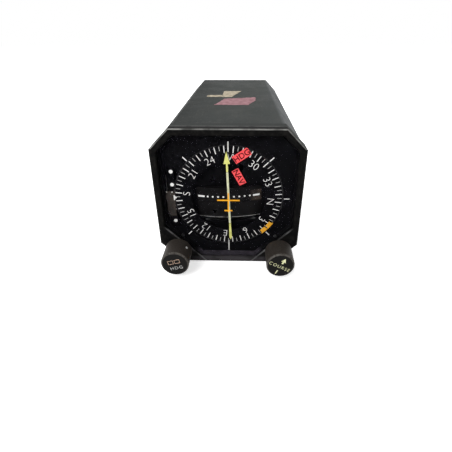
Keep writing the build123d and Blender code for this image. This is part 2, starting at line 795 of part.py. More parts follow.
with BuildPart() as course_tail:
    with BuildSketch(facing(bug_front, course_turn)):
        shoulder = tail_width - tail_outer
        inner_end = [(-neck_width / 2, -tail_inner), (neck_width / 2, -tail_inner)]
        outer_end = [(tail_width / 2, shoulder), (0, -tail_outer), (-tail_width / 2, shoulder)]
        Polygon(*inner_end, *outer_end, align=None)
    extrude(amount=-bug_thickness)
    with BuildSketch(facing(arrow_rear, course_turn)):
        with Locations((0, -tail_inner - post_length / 2)):
            Rectangle(neck_width, post_length)
    extrude(amount=arrow_rear - course_front)
finish(course_tail, "course_tail")

# Deviation scale: a lens-shaped block whose front follows the swing of the deviation bar
scale_radius = bar_swing_radius - bar_scale_gap
with BuildPart() as deviation_scale:
    with BuildSketch(across_arrow(-scale_bottom)):
        with Locations((0, pivot_depth)):
            Circle(scale_radius)
        with Locations((0, course_front - scale_radius / 2)):
            Rectangle(2 * scale_half_width, scale_radius, mode=Mode.INTERSECT)
    extrude(amount=scale_top + scale_bottom)
    with BuildSketch(across_arrow(-scale_band_bottom)):
        with Locations((0, pivot_depth)):
            Circle(scale_radius + 1)
            Circle(scale_radius - scale_band_depth, mode=Mode.SUBTRACT)
    extrude(amount=scale_band_top + scale_band_bottom, mode=Mode.SUBTRACT)
    with BuildSketch(facing(card_front, course_turn)):
        with Locations((to_from_x, -to_from_z)):
            RegularPolygon(to_from_size / sqrt(3), 3, rotation=-90)
    extrude(amount=card_front - course_rear, mode=Mode.SUBTRACT)
finish(deviation_scale, "deviation_scale")

# Deviation bar: the blade, the long arm under the scale and the spindle in the meter
with BuildPart() as deviation_bar:
    with BuildSketch(facing(pivot_depth - bar_swing_radius - bar_thickness, course_turn)):
        with Locations((0, (bar_top - bar_bottom) / 2)):
            Rectangle(bar_width, bar_top + bar_bottom)
    extrude(amount=-bar_thickness)
    with BuildSketch(facing(pivot_depth - bar_swing_radius, course_turn)):
        with Locations((0, -bar_arm_z)):
            Rectangle(bar_arm_width, bar_arm_width)
    extrude(amount=-bar_swing_radius)
    with BuildSketch(across_arrow(-bar_bottom)):
        with Locations((0, pivot_depth)):
            Circle(bar_hub_radius)
    extrude(amount=bar_arm_width)
    with BuildSketch(across_arrow(-bar_bottom)):
        with Locations((0, pivot_depth)):
            Circle(spindle_radius)
    extrude(amount=bar_bottom - meter_length / 2 + spindle_length)
finish(deviation_bar, "deviation_bar")

# Deviation meter inside the yoke, on a foot that stands on the yoke's floor
with BuildPart() as deviation_meter:
    with BuildSketch(across_arrow(-meter_length / 2)):
        with Locations((0, pivot_depth)):
            Circle(meter_radius)
    extrude(amount=meter_length)
    with BuildSketch(facing(pivot_depth, course_turn)):
        Rectangle(meter_radius, meter_length * 0.7)
    extrude(amount=pivot_depth - yoke_floor_front)
    with BuildSketch(across_arrow(-meter_length / 2)):
        with Locations((0, pivot_depth)):
            Circle(spindle_radius + running_clearance)
    extrude(amount=spindle_length + layer_gap, mode=Mode.SUBTRACT)
finish(deviation_meter, "deviation_meter")

# Course yoke: a windowed tube behind the course disc, with a shaft at its rear end
yoke_inner = yoke_radius - yoke_wall
window_front = card_gear_front + yoke_window_inset
course_gear_front = yoke_rear - course_gear_inset
shaft_rear = mid_frame_rear + slip_ring_count * slip_ring_pitch + 3
with BuildPart() as course_yoke:
    with BuildSketch(facing(course_rear, course_turn)):
        for foot_angle in yoke_feet:
            with PolarLocations(yoke_radius, 1, start_angle=foot_angle):
                Rectangle(yoke_foot_length, yoke_foot_width)
        Circle(yoke_radius, mode=Mode.INTERSECT)
        Circle(yoke_inner, mode=Mode.SUBTRACT)
    extrude(amount=course_rear - yoke_front)
    with BuildSketch(facing(yoke_front, course_turn)):
        Circle(yoke_radius)
        Circle(yoke_inner, mode=Mode.SUBTRACT)
    extrude(amount=yoke_front - yoke_floor_front)
    with BuildSketch(across_arrow(-yoke_window / 2)):
        with Locations((0, (window_front + course_gear_front - yoke_window_inset) / 2)):
            Rectangle(3 * yoke_radius, course_gear_front - yoke_window_inset - window_front)
    extrude(amount=yoke_window, mode=Mode.SUBTRACT)
    with BuildSketch(facing(yoke_floor_front, course_turn)):
        Circle(yoke_radius)
    extrude(amount=-yoke_floor)
    with BuildSketch(facing(yoke_rear)):
        Circle(yoke_shaft_radius)
    extrude(amount=yoke_rear - shaft_rear)
finish(course_yoke, "course_yoke")

# Course gear round the yoke, driven by the course differential
with BuildPart() as course_gear:
    with BuildSketch(facing(course_gear_front)):
        toothed_wheel(course_gear_teeth)
        Circle(yoke_radius, mode=Mode.SUBTRACT)
    extrude(amount=-course_gear_width)
finish(course_gear, "course_gear")

# Slip rings on the yoke's shaft, and the brush block that they run against
ring_front = mid_frame_rear + 1
with BuildPart() as slip_rings:
    with BuildSketch(facing(ring_front)):
        Circle(slip_ring_radius - slip_ring_groove)
        Circle(yoke_shaft_radius, mode=Mode.SUBTRACT)
    extrude(amount=-slip_ring_count * slip_ring_pitch)
    for ring in range(slip_ring_count):
        with BuildSketch(facing(ring_front + (ring + 0.25) * slip_ring_pitch)):
            Circle(slip_ring_radius)
            Circle(yoke_shaft_radius, mode=Mode.SUBTRACT)
        extrude(amount=-slip_ring_pitch / 2)
finish(slip_rings, "slip_rings")

with BuildPart() as brush_block:
    with BuildSketch(facing(mid_frame_rear)):
        with Locations((0, -slip_ring_radius - 3 * layer_gap - brush_height / 2)):
            Rectangle(brush_width, brush_height)
    extrude(amount=-slip_ring_count * slip_ring_pitch - 1)
finish(brush_block, "brush_block")

# Meters of the navigation flag and of the to-from vane, each on a foot against the yoke's wall
for meter, x, z in [("nav_flag_meter", nav_pivot_x, nav_pivot_z), ("to_from_meter", -to_from_pivot, 0)]:
    outward = degrees(atan2(z, x))
    with BuildPart() as small_meter:
        with BuildSketch(facing(yoke_front, course_turn)):
            with PolarLocations(yoke_inner - small_meter_foot / 4, 1, start_angle=outward):
                Rectangle(small_meter_foot, small_meter_radius * 1.4)
            Circle(yoke_inner, mode=Mode.INTERSECT)
            with Locations((x, z)):
                Circle(small_meter_radius)
                Circle(flag_shaft_radius + running_clearance, mode=Mode.SUBTRACT)
        extrude(amount=-small_meter_length)
    finish(small_meter, meter)

# Navigation flag: the plate in front of the course disc, its post through the disc's slot,
# and an arm and shaft behind it
nav_flag_front = course_front - nav_flag_stand
with BuildPart() as nav_flag:
    with BuildSketch(facing(nav_flag_front, course_turn)):
        with Locations(Location((nav_flag_x, nav_flag_z, 0), (0, 0, nav_flag_angle))):
            Rectangle(nav_flag_length, nav_flag_width)
    extrude(amount=-flag_thickness)
    with BuildSketch(facing(nav_flag_front + flag_thickness, course_turn)):
        with Locations((nav_flag_x, nav_flag_z)):
            Rectangle(flag_post, flag_post)
    extrude(amount=nav_flag_front + flag_thickness - arm_rear)
    with BuildSketch(facing(arm_front, course_turn)):
        flat_arm(nav_pivot_x, nav_pivot_z, nav_reach, nav_start)
    extrude(amount=-vane_thickness)
    with BuildSketch(facing(arm_rear, course_turn)):
        with Locations((nav_pivot_x, nav_pivot_z)):
            Circle(flag_shaft_radius)
    extrude(amount=-small_meter_length)
finish(nav_flag, "nav_flag")

# To-from vane: a round end that moves from behind the scale to either arrow window
with BuildPart() as to_from_vane:
    with BuildSketch(facing(arm_front, course_turn)):
        flat_arm(-to_from_pivot, 0, to_from_reach, 0)
        with Locations((to_from_reach - to_from_pivot, 0)):
            Circle(to_from_size * 0.68)
    extrude(amount=-vane_thickness)
    with BuildSketch(facing(arm_rear, course_turn)):
        with Locations((-to_from_pivot, 0)):
            Circle(flag_shaft_radius)
    extrude(amount=-small_meter_length)
finish(to_from_vane, "to_from_vane")

# Heading flag in front of the card, on a pivot behind the mask, and its meter
heading_reach = hypot(heading_flag_x - heading_pivot_x, heading_flag_z - heading_pivot_z)
heading_start = degrees(atan2(heading_flag_z - heading_pivot_z, heading_flag_x - heading_pivot_x))
with BuildPart() as heading_flag:
    with BuildSketch(facing(flag_front)):
        with Locations(Location((heading_flag_x, heading_flag_z, 0), (0, 0, heading_flag_angle))):
            Rectangle(heading_flag_length, heading_flag_width)
        flat_arm(heading_pivot_x, heading_pivot_z, heading_reach, heading_start)
    extrude(amount=-flag_thickness)
    with BuildSketch(facing(flag_front + flag_thickness)):
        with Locations((heading_pivot_x, heading_pivot_z)):
            Circle(flag_shaft_radius)
    extrude(amount=flag_front + flag_thickness - frame_rear - flag_meter_length / 2)
finish(heading_flag, "heading_flag")

with BuildPart() as heading_flag_meter:
    with BuildSketch(facing(frame_rear)):
        with Locations((heading_pivot_x, heading_pivot_z)):
            Circle(flag_meter_radius)
    extrude(amount=-flag_meter_length)
    with BuildSketch(facing(frame_rear)):
        with Locations((heading_pivot_x, heading_pivot_z)):
            Circle(flag_shaft_radius + running_clearance)
    extrude(amount=-flag_meter_length / 2 - layer_gap, mode=Mode.SUBTRACT)
finish(heading_flag_meter, "heading_flag_meter")

with BuildPart() as glideslope_meter:
    with BuildSketch(facing(frame_rear)):
        with Locations((-card_gear_tip - 4 * layer_gap - glide_meter_radius, 0)):
            Circle(glide_meter_radius)
    extrude(amount=-flag_meter_length)
    chamfer(glideslope_meter.faces().sort_by(Axis.Y)[-1].edges(), length=layer_gap * 5)
finish(glideslope_meter, "glideslope_meter")

# Knobs, their shafts with pinions, and the input gears of the two differentials
for side, knob_name, shaft_name, gear_name in [
    (-1, "heading_knob", "heading_shaft", "heading_input_gear"),
    (1, "course_knob", "course_shaft", "course_input_gear"),
]:
    mesh_angle = degrees(atan2(knob_z - differential_z, side * input_out))
    with BuildPart() as knob:
        with BuildSketch(facing(-knob_front, 0, side * knob_x, -knob_z)):
            Circle(knob_radius)
        extrude(amount=-knob_length)
        chamfer(knob.faces().sort_by(Axis.Y)[0].edges(), length=knob_chamfer)
        chamfer(knob.faces().sort_by(Axis.Y)[-1].edges(), length=knob_chamfer / 3)
        with BuildSketch(facing(knob_length - knob_front, 0, side * knob_x, -knob_z)):
            Circle(shaft_radius)
        extrude(amount=knob_length - knob_face, mode=Mode.SUBTRACT)
    finish(knob, knob_name)
    with BuildPart() as shaft:
        with BuildSketch(facing(knob_face - knob_front, 0, side * knob_x, -knob_z)):
            Circle(shaft_radius)
        extrude(amount=knob_face - knob_front - mid_frame_depth - frame_plate_thickness / 2)
        with BuildSketch(facing(input_gear_front, 0, side * knob_x, -knob_z)):
            toothed_wheel(knob_teeth, mesh_angle)
        extrude(amount=-input_gear_width)
    finish(shaft, shaft_name)
    with BuildPart() as input_gear:
        with BuildSketch(facing(input_gear_front, 0, side * differential_x, -differential_z)):
            toothed_wheel(input_teeth, mesh_angle + 180 + 180 / input_teeth)
            Circle(axle_radius + running_clearance, mode=Mode.SUBTRACT)
        extrude(amount=-input_gear_width)
    finish(input_gear, gear_name)

# Differentials: closed round gearboxes on the mid frame, each with an axle for its input gear
differential_places = [(-differential_x, -differential_z), (differential_x, -differential_z)]
with BuildPart() as differentials:
    with BuildSketch(facing(input_gear_front + input_gear_width + layer_gap)):
        with Locations(*differential_places):
            Circle(differential_radius)
    extrude(amount=input_gear_front + input_gear_width + layer_gap - mid_frame_depth)
    with BuildSketch(facing(input_gear_front - 1)):
        with Locations(*differential_places):
            Circle(axle_radius)
    extrude(amount=-input_gear_width - 1 - layer_gap)
finish(differentials, "differentials")

# Frame plates and the posts between them
plate_inset = case_wall + 3 * slip_gap
with BuildPart() as mid_frame:
    with BuildSketch(facing(mid_frame_depth)):
        case_corners(plate_inset)
        Circle(slip_ring_radius, mode=Mode.SUBTRACT)
        with Locations(*knob_places):
            Circle(shaft_radius + running_clearance, mode=Mode.SUBTRACT)
        with Locations((-plate_hole_x, plate_hole_z), (plate_hole_x, plate_hole_z)):
            Circle(plate_hole_radius, mode=Mode.SUBTRACT)
    extrude(amount=-frame_plate_thickness)
finish(mid_frame, "mid_frame")

with BuildPart() as yoke_bearing:
    with BuildSketch(facing(mid_frame_depth)):
        Circle(slip_ring_radius)
        Circle(yoke_shaft_radius + running_clearance, mode=Mode.SUBTRACT)
    extrude(amount=-frame_plate_thickness)
finish(yoke_bearing, "yoke_bearing")

with BuildPart() as rear_frame:
    with BuildSketch(facing(rear_frame_depth)):
        case_corners(plate_inset)
        with Locations((0, connector_z)):
            Circle(connector_radius, mode=Mode.SUBTRACT)
    extrude(amount=-frame_plate_thickness)
finish(rear_frame, "rear_frame")

post_spans = [
    (frame_rear, mid_frame_depth),
    (mid_frame_rear, rear_frame_depth),
    (rear_frame_depth + frame_plate_thickness, rear_plate_front),
]
with BuildPart() as frame_posts:
    for span_front, span_rear in post_spans:
        with BuildSketch(facing(span_front)):
            with Locations(*posts):
                Circle(post_radius)
        extrude(amount=span_front - span_rear)
    with BuildSketch(facing(rear_plate_front - cover_screw_grip)):
        with Locations(*posts):
            Circle(screw_radius)
    extrude(amount=-cover_screw_grip, mode=Mode.SUBTRACT)
finish(frame_posts, "frame_posts")

# Circuit boards with their parts, between the mid and the rear frame
for board_name, side in [("amplifier_board", -1), ("power_board", 1)]:
    with BuildPart() as board:
        with BuildSketch(facing(mid_frame_rear)):
            with Locations((side * board_x, 0)):
                Rectangle(board_thickness, board_height)
        extrude(amount=mid_frame_rear - rear_frame_depth)
        with BuildSketch(Plane.YZ.offset(side * (board_x - board_thickness / 2))):
            board_middle = (mid_frame_rear + rear_frame_depth) / 2 - bezel_depth
            with Locations((board_middle, 0)):
                with GridLocations(board_length / 4, board_height / 3, 3, 2):
                    RectangleRounded(board_part, board_part * 0.7, board_part / 8)
        extrude(amount=-side * board_part_height)
    finish(board, board_name)

# Case: a sleeve from the rear, closed by the rear plate
with BuildPart() as case_cover:
    with BuildSketch(facing(case_front)) as cover_section:
        case_corners()
        fillet(cover_section.vertices(), radius=case_edge_radius)
    extrude(amount=case_front - rear_plate_front)
    with BuildSketch(facing(case_front)) as cover_hollow:
        case_corners(case_wall)
        fillet(cover_hollow.vertices(), radius=case_edge_radius)
    extrude(amount=case_front - rear_plate_front, mode=Mode.SUBTRACT)
finish(case_cover, "case_cover")

with BuildPart() as rear_plate:
    with BuildSketch(facing(rear_plate_front)) as plate_section:
        case_corners()
        fillet(plate_section.vertices(), radius=case_edge_radius)
    extrude(amount=-rear_plate_thickness)
    with BuildSketch(facing(rear_plate_front)):
        with Locations((0, connector_z)):
            Circle(connector_radius - connector_wall)
        with Locations(*posts):
            Circle(screw_radius)
    extrude(amount=-rear_plate_thickness, mode=Mode.SUBTRACT)
    chamfer(rear_plate.faces().sort_by(Axis.Y)[-1].outer_wire().edges(), length=rim_chamfer)
finish(rear_plate, "rear_plate")

with BuildPart() as cover_screws:
    with BuildSketch(facing(case_rear)):
        with Locations(*posts):
            Circle(screw_head_radius)
    extrude(amount=-screw_head_height)
    with BuildSketch(facing(case_rear)):
        with Locations(*posts):
            Circle(screw_radius)
    extrude(amount=rear_plate_thickness + cover_screw_grip - layer_gap)
    with BuildSketch(facing(case_rear + screw_head_height)):
        with Locations(*posts):
            Rectangle(3 * screw_head_radius, screw_slot)
    extrude(amount=screw_head_height / 2, mode=Mode.SUBTRACT)
finish(cover_screws, "cover_screws")

# Round connector with its insert and contacts, and the ground stud
shell_rear = case_rear + connector_flange_thickness + connector_length
insert_rear = shell_rear - contact_recess - contact_length
with BuildPart() as connector_shell:
    with BuildSketch(facing(case_rear)):
        with Locations((0, connector_z)):
            RectangleRounded(connector_flange, connector_flange, connector_flange / 10)
            Circle(connector_radius - connector_wall, mode=Mode.SUBTRACT)
            with GridLocations(connector_screw_pitch, connector_screw_pitch, 2, 2):
                Circle(screw_radius, mode=Mode.SUBTRACT)
    extrude(amount=-connector_flange_thickness)
    with BuildSketch(facing(case_rear + connector_flange_thickness)):
        with Locations((0, connector_z)):
            Circle(connector_radius)
            Circle(connector_radius - connector_wall, mode=Mode.SUBTRACT)
    extrude(amount=-connector_length)
finish(connector_shell, "connector_shell")

with BuildPart() as connector_insert:
    with BuildSketch(facing(rear_plate_front)):
        with Locations((0, connector_z)):
            Circle(connector_radius - connector_wall)
    extrude(amount=rear_plate_front - insert_rear)
finish(connector_insert, "connector_insert")

with BuildPart() as connector_contacts:
    with BuildSketch(facing(insert_rear)):
        with Locations((0, connector_z)):
            Circle(contact_radius)
            with PolarLocations(contact_ring, 12):
                Circle(contact_radius)
            with PolarLocations(contact_inner_ring, 6):
                Circle(contact_radius)
    extrude(amount=-contact_length)
finish(connector_contacts, "connector_contacts")

with BuildPart() as ground_stud:
    with BuildSketch(facing(case_rear, 0, ground_x, -ground_z)):
        Circle(ground_stud_radius)
    extrude(amount=-ground_stud_length)
    chamfer(ground_stud.faces().sort_by(Axis.Y)[-1].edges(), length=ground_stud_radius / 5)
finish(ground_stud, "ground_stud")
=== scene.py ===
# %% [markdown]
# # Dressing a course deviation indicator
# The solids of this instrument come from its CAD source and are loaded as a fixed frame. This
# lesson adds what a solid can't show: the paint of the dial, the numerals and pointers' marks,
# the finish of case, bezel and knobs, torn label remnants, and the light and camera.

import json
from math import atan2, cos, pi, radians, sin, sqrt

import bpy
from mathutils import Matrix, Vector


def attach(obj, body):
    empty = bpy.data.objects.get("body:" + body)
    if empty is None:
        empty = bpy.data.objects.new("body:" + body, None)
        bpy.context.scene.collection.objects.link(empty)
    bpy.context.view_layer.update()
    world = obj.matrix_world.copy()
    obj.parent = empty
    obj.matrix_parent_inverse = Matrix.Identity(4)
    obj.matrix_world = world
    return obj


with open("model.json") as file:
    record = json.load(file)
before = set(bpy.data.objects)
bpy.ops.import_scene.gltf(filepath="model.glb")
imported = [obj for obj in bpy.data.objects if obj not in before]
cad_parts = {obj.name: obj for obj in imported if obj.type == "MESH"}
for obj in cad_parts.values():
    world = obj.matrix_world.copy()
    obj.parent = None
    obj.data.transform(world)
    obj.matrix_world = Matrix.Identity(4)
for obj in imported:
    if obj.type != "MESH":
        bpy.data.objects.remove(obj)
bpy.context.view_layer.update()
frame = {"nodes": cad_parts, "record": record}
print("pieces of the frame:", len(frame["nodes"]))

# %% [markdown]
# ## Measures
# Blender works in metres, and an instrument is drawn in millimetres, so every measure here is
# written in millimetres times one small unit. Depths are counted from the bezel's front rim.
# Clock angles run clockwise from the top, in degrees, as the pilot sees them.

# %% Measures shared by the cells below
mm = 0.001
bezel_depth = 11.0
mask_front = 5.5
card_front = 6.6
flag_front = 6.0
bug_front = 6.3
nav_flag_front = 9.5
case_top = 40.1
floor_height = -41.3
course_turn = -2.26
heading_at_top = 264.5
bug_clock = 131
flag_x, flag_z, flag_lean = 7.3, 25.4, 33.9
paint_rise = 0.04
paint_sink = 0.02
knob_x, knob_z, knob_front = 29.7, -30.0, -18.0
course_axis = radians(course_turn)


def depth_y(depth):
    """The place along Y, in metres, of a depth behind the rim in millimetres."""
    return (depth - bezel_depth) * mm


# %% [markdown]
# ## The camera
# The photograph was taken from above and in front. Its camera was worked out from the corners
# of the bezel and case and from the ticks of the card, so the render lines up with it. A small
# shift of the lens stands for the photograph's crop.

# %% Camera
camera_place = (7.071, -172.039, 83.947)
camera_down, camera_left, camera_roll = 30.530, 1.673, -0.196
camera_data = bpy.data.cameras.new("camera")
camera_data.lens = 25.78
camera_data.sensor_width = 36
camera_data.shift_x = -0.0142
camera_data.shift_y = -0.0134
camera_data.clip_start = 0.005
camera = bpy.data.objects.new("camera", camera_data)
bpy.context.scene.collection.objects.link(camera)
camera.matrix_world = (
    Matrix.Translation([value * mm for value in camera_place])
    @ Matrix.Rotation(radians(camera_left), 4, "Z")
    @ Matrix.Rotation(radians(90 - camera_down), 4, "X")
    @ Matrix.Rotation(radians(camera_roll), 4, "Z")
)
bpy.context.scene.camera = camera
print("camera at", [round(value, 4) for value in camera.matrix_world.translation])

# %% [markdown]
# ## Shader sums as Python
# Node trees are easier to read as expressions. One small class wraps a socket: sums on it add
# Math nodes, and one method makes every other kind of node.


# %% A wrapped socket
class Wire:
    """An output socket of a shader node that can be used in sums."""

    def __init__(self, tree, socket=None):
        self.tree = tree
        self.socket = socket

    def make(self, kind, settings, inputs, output=0):
        """Add a node: its settings first, then the values or links of its sockets."""
        node = self.tree.nodes.new(kind)
        for name, value in settings.items():
            setattr(node, name, value)
        for name, value in inputs.items():
            if isinstance(value, Wire):
                self.tree.links.new(value.socket, node.inputs[name])
            else:
                node.inputs[name].default_value = value
        return Wire(self.tree, node.outputs[output])

    def math(self, operation, first, second=0.0):
        return self.make("ShaderNodeMath", {"operation": operation}, {0: first, 1: second})

    def __add__(self, other):
        return self.math("ADD", self, other)

    def __radd__(self, other):
        return self.math("ADD", other, self)

    def __sub__(self, other):
        return self.math("SUBTRACT", self, other)

    def __rsub__(self, other):
        return self.math("SUBTRACT", other, self)

    def __mul__(self, other):
        return self.math("MULTIPLY", self, other)

    def __rmul__(self, other):
        return self.math("MULTIPLY", other, self)

    def __gt__(self, other):
        return self.math("GREATER_THAN", self, other)

    def __lt__(self, other):
        return self.math("LESS_THAN", self, other)

    def size(self):
        return self.math("ABSOLUTE", self)

    def between(self, low, high):
        """0 below low, 1 above high and a smooth rise between them."""
        inputs = {"Value": self, "From Min": low, "From Max": high}
        return self.make("ShaderNodeMapRange", {"interpolation_type": "SMOOTHSTEP"}, inputs)

    def mix(self, first, second):
        """The first colour where this wire is 0, the second where it is 1."""
        inputs = {0: self, 6: first, 7: second}
        return self.make("ShaderNodeMix", {"data_type": "RGBA"}, inputs, 2)


# %% [markdown]
# ## Patterns that every finish uses
# Paint is never even: it has a slow drift of colour, a fine grain and small scratches. These
# helpers give those patterns in the piece's own coordinates, so they stay put on a moving part.


# %% Patterns and the finish itself
def place_of(tree):
    """The point on the piece in millimetres, as a vector and as its three parts."""
    wire = Wire(tree)
    point = wire.make("ShaderNodeTexCoord", {}, {}, "Object")
    scaled = wire.make("ShaderNodeVectorMath", {"operation": "SCALE"}, {0: point, "Scale": 1 / mm})
    parts = [wire.make("ShaderNodeSeparateXYZ", {}, {0: scaled}, part) for part in range(3)]
    return scaled, parts


def noise(point, per_mm, detail, rough=0.55):
    """Cloudy noise from about 0.3 to 0.7, with so many lumps in each millimetre."""
    inputs = {"Vector": point, "Scale": per_mm, "Detail": detail, "Roughness": rough}
    return point.make("ShaderNodeTexNoise", {}, inputs)


def stretched(point, stretch):
    """The point with each axis scaled, for brushed or drawn-out patterns."""
    return point.make("ShaderNodeVectorMath", {"operation": "MULTIPLY"}, {0: point, 1: stretch})


def finish(name, constants):
    """A new material with a Principled shader whose unvarying sockets are set at once."""
    material = bpy.data.materials.new(name)
    material.use_nodes = True
    shader = material.node_tree.nodes["Principled BSDF"]
    for socket, value in constants.items():
        shader.inputs[socket].default_value = value
    return material, material.node_tree, shader


def feed(tree, shader, **sockets):
    """Link wires to the shader's sockets, with _ for a space in a socket's name."""
    for name, wire in sockets.items():
        tree.links.new(wire.socket, shader.inputs[name.replace("_", " ")])


def grain(tree, shader, height, strength, distance):
    """A bump from a height pattern, with its depth in millimetres."""
    inputs = {"Height": height, "Strength": strength, "Distance": distance * mm}
    feed(tree, shader, Normal=height.make("ShaderNodeBump", {}, inputs))


# %% [markdown]
# ## Painted and moulded finishes
# Most surfaces are one of a few paints: satin black on the bezel, dead black on the dial,
# bright marks and flags. One helper makes them all, and the numbers say how they differ: two
# colours that drift into each other, the gloss, and how coarse the grain is.


# %% Paint
def paint(name, dark, light, gloss, patch=0.12, lump=4.0, bump=0.15, specular=0.3):
    """A paint that drifts between two colours, with fine grain in gloss and surface."""
    material, tree, shader = finish(name, {"Specular IOR Level": specular})
    point, _ = place_of(tree)
    drift = noise(point, patch, 4.0).between(0.3, 0.7)
    fine = noise(point, lump, 2.0)
    feed(tree, shader, Base_Color=drift.mix((*dark, 1), (*light, 1)))
    feed(tree, shader, Roughness=gloss + (fine - 0.5) * 0.25 + (drift - 0.5) * 0.08)
    grain(tree, shader, fine, bump, 0.03)
    return material


dial_black = paint("dial_black", (0.0015, 0.0015, 0.002), (0.003, 0.003, 0.004), 0.8, specular=0.05)
white_paint = paint("white_paint", (0.88, 0.88, 0.86), (0.97, 0.97, 0.95), 0.6, patch=0.4)
grey_paint = paint("grey_paint", (0.42, 0.42, 0.41), (0.58, 0.58, 0.56), 0.6, patch=0.4)
orange_paint = paint("orange_paint", (0.95, 0.4, 0.005), (1.0, 0.47, 0.01), 0.55, patch=0.4)
yellow_paint = paint("yellow_paint", (0.72, 0.72, 0.18), (0.82, 0.82, 0.28), 0.55, patch=0.4)
red_paint = paint("red_paint", (1.0, 0.075, 0.08), (1.0, 0.1, 0.11), 0.55, patch=0.5)
letter_black = paint("letter_black", (0.004, 0.0, 0.001), (0.01, 0.001, 0.002), 0.7, specular=0.04)
pictogram_orange = paint("pictogram_orange", (0.5, 0.34, 0.24), (0.68, 0.48, 0.36), 0.6, patch=0.8)
pictogram_yellow = paint("pictogram_yellow", (0.6, 0.6, 0.32), (0.78, 0.78, 0.5), 0.6, patch=0.8)
black_steel = paint("black_steel", (0.02, 0.02, 0.022), (0.06, 0.06, 0.062), 0.4, patch=0.6)
insert_rubber = paint("insert_rubber", (0.02, 0.02, 0.022), (0.035, 0.035, 0.037), 0.7)
print("paints:", len(bpy.data.materials))

# %% [markdown]
# ## The bezel's worn black
# The bezel is a black casting. Years of handling have polished its front rim, so the paint is
# lighter and glossier there. Painted highlights lie as thin pale lines on its outer top edge,
# on the slanting edges of the knob blocks and on the step behind the flange, and a painted pale
# sheen lies on the strip between the knobs. Behind the flange the bezel is painted like the case.
# Every one of these areas is a mask made of the place on the piece, so no picture is needed.

# %% Masks and paint of the bezel
flange_depth = 5.6
bezel_paint, tree, shader = finish("bezel_paint", {"Specular IOR Level": 0.02})
point, (x, y, z) = place_of(tree)
depth = y + bezel_depth
drift = noise(point, 0.09, 4.0).between(0.3, 0.7)
fine = noise(point, 5.0, 2.0)
rim = depth.between(1.0, 0.1)
rub = noise(point, 0.5, 5.0, 0.7).between(0.45, 0.62)
worn = rim * rub * 0.2
base = drift.mix((0.0022, 0.0022, 0.0024, 1), (0.0045, 0.0044, 0.0042, 1))
base = worn.mix(base, (0.03, 0.028, 0.025, 1))
# The outer top edge and upper corner chamfers of the rim, where a thin painted highlight lies.
outer_rim = z.between(38.8, 40.2) + (x.size() + z).between(69.6, 70.6) * z.between(28.0, 34.0)
painted_rim_highlight = depth.between(0.06, 0.3) * depth.between(0.85, 0.6) * (outer_rim > 0.4)
# A thin painted highlight along the slanting edges of the knob blocks.
block_side = x.size() - z
painted_block_highlight = block_side.between(53.6, 53.9) * block_side.between(55.2, 54.8) * z.between(-16.0, -20.0)
painted_block_highlight = painted_block_highlight * depth.between(0.7, 0.5)
# A painted pale violet sheen on the strip between the knobs.
painted_strip_sheen = z.between(-36.6, -37.8) * x.size().between(25.0, 20.0)
# A thin painted highlight on the top of the step behind the flange.
painted_step_highlight = depth.between(4.9, 5.15) * depth.between(5.8, 5.5) * z.between(34.0, 39.0)
# Patches that break up the painted highlights and the painted sheen.
painted_light_patches = noise(point, 0.11, 4.0, 0.6).between(0.3, 0.6)
base = (painted_strip_sheen * (0.4 + painted_light_patches * 0.6)).mix(base, (0.04, 0.037, 0.04, 1))
base = (painted_rim_highlight * (0.25 + painted_light_patches * 0.75)).mix(base, (0.2, 0.2, 0.19, 1))
base = (painted_block_highlight * (0.1 + painted_light_patches * 0.9)).mix(base, (0.12, 0.12, 0.12, 1))
behind_flange = depth.between(flange_depth, flange_depth + 0.1) * 0.9
base = behind_flange.mix(base, (0.02, 0.022, 0.021, 1))
base = (painted_step_highlight * (0.2 + painted_light_patches * 0.8)).mix(base, (0.14, 0.14, 0.135, 1))
feed(tree, shader, Base_Color=base)
feed(tree, shader, Roughness=0.55 + (fine - 0.5) * 0.3 - worn * 0.25)
grain(tree, shader, fine, 0.2, 0.04)
print("bezel paint nodes:", len(tree.nodes))

# %% [markdown]
# ## The case's grey-green paint
# The case is sheet metal under a thin dark paint that has faded to a grey green. It is darker
# on the left and paler on the right, in streaks, and a painted highlight lies along the upper
# right edge. Handling has left broad soft smudges and fine scratches along it. The scratches are
# noise that is squeezed across the case and drawn out along it.

# %% Case paint
case_paint, tree, shader = finish("case_paint", {"Specular IOR Level": 0.018})
point, (x, y, z) = place_of(tree)
cloud = noise(point, 0.035, 5.0, 0.6).between(0.3, 0.7)
smudge = noise(stretched(point, (1.0, 0.35, 1.0)), 0.12, 5.0, 0.65).between(0.42, 0.66)
scratch = noise(stretched(point, (1.0, 0.06, 1.0)), 3.0, 2.0, 0.5).between(0.62, 0.72)
fine = noise(point, 6.0, 2.0)
base = cloud.mix((0.015, 0.0175, 0.0165, 1), (0.025, 0.028, 0.0265, 1))
base = (smudge * 0.5).mix(base, (0.028, 0.029, 0.0265, 1))
# Paler towards the right, in streaks.
base = (x.between(14.0, 34.0) * (0.3 + scratch * 0.7) * 0.5).mix(base, (0.055, 0.059, 0.06, 1))
# Darker towards the left.
base = (x.between(0.0, -36.0) * 0.7).mix(base, (0.006, 0.0072, 0.007, 1))
# A painted highlight on the upper right chamfer edge.
painted_corner_highlight = (x.size() + z.size()).between(68.5, 71.0) * x.between(-10.0, 20.0) * 0.6
base = painted_corner_highlight.mix(base, (0.085, 0.09, 0.093, 1))
feed(tree, shader, Base_Color=(scratch * 0.3).mix(base, (0.09, 0.09, 0.085, 1)))
feed(tree, shader, Roughness=0.5 + (cloud - 0.5) * 0.16 + (fine - 0.5) * 0.2)
grain(tree, shader, fine - scratch * 0.5, 0.18, 0.04)
print("case paint nodes:", len(tree.nodes))

# %% [markdown]
# ## The knobs' plastic
# The knobs are dark brown-grey plastic with a black painted face. A faint worn ring runs where
# fingers rub the front chamfer. The depth behind the foremost point picks out face and ring.

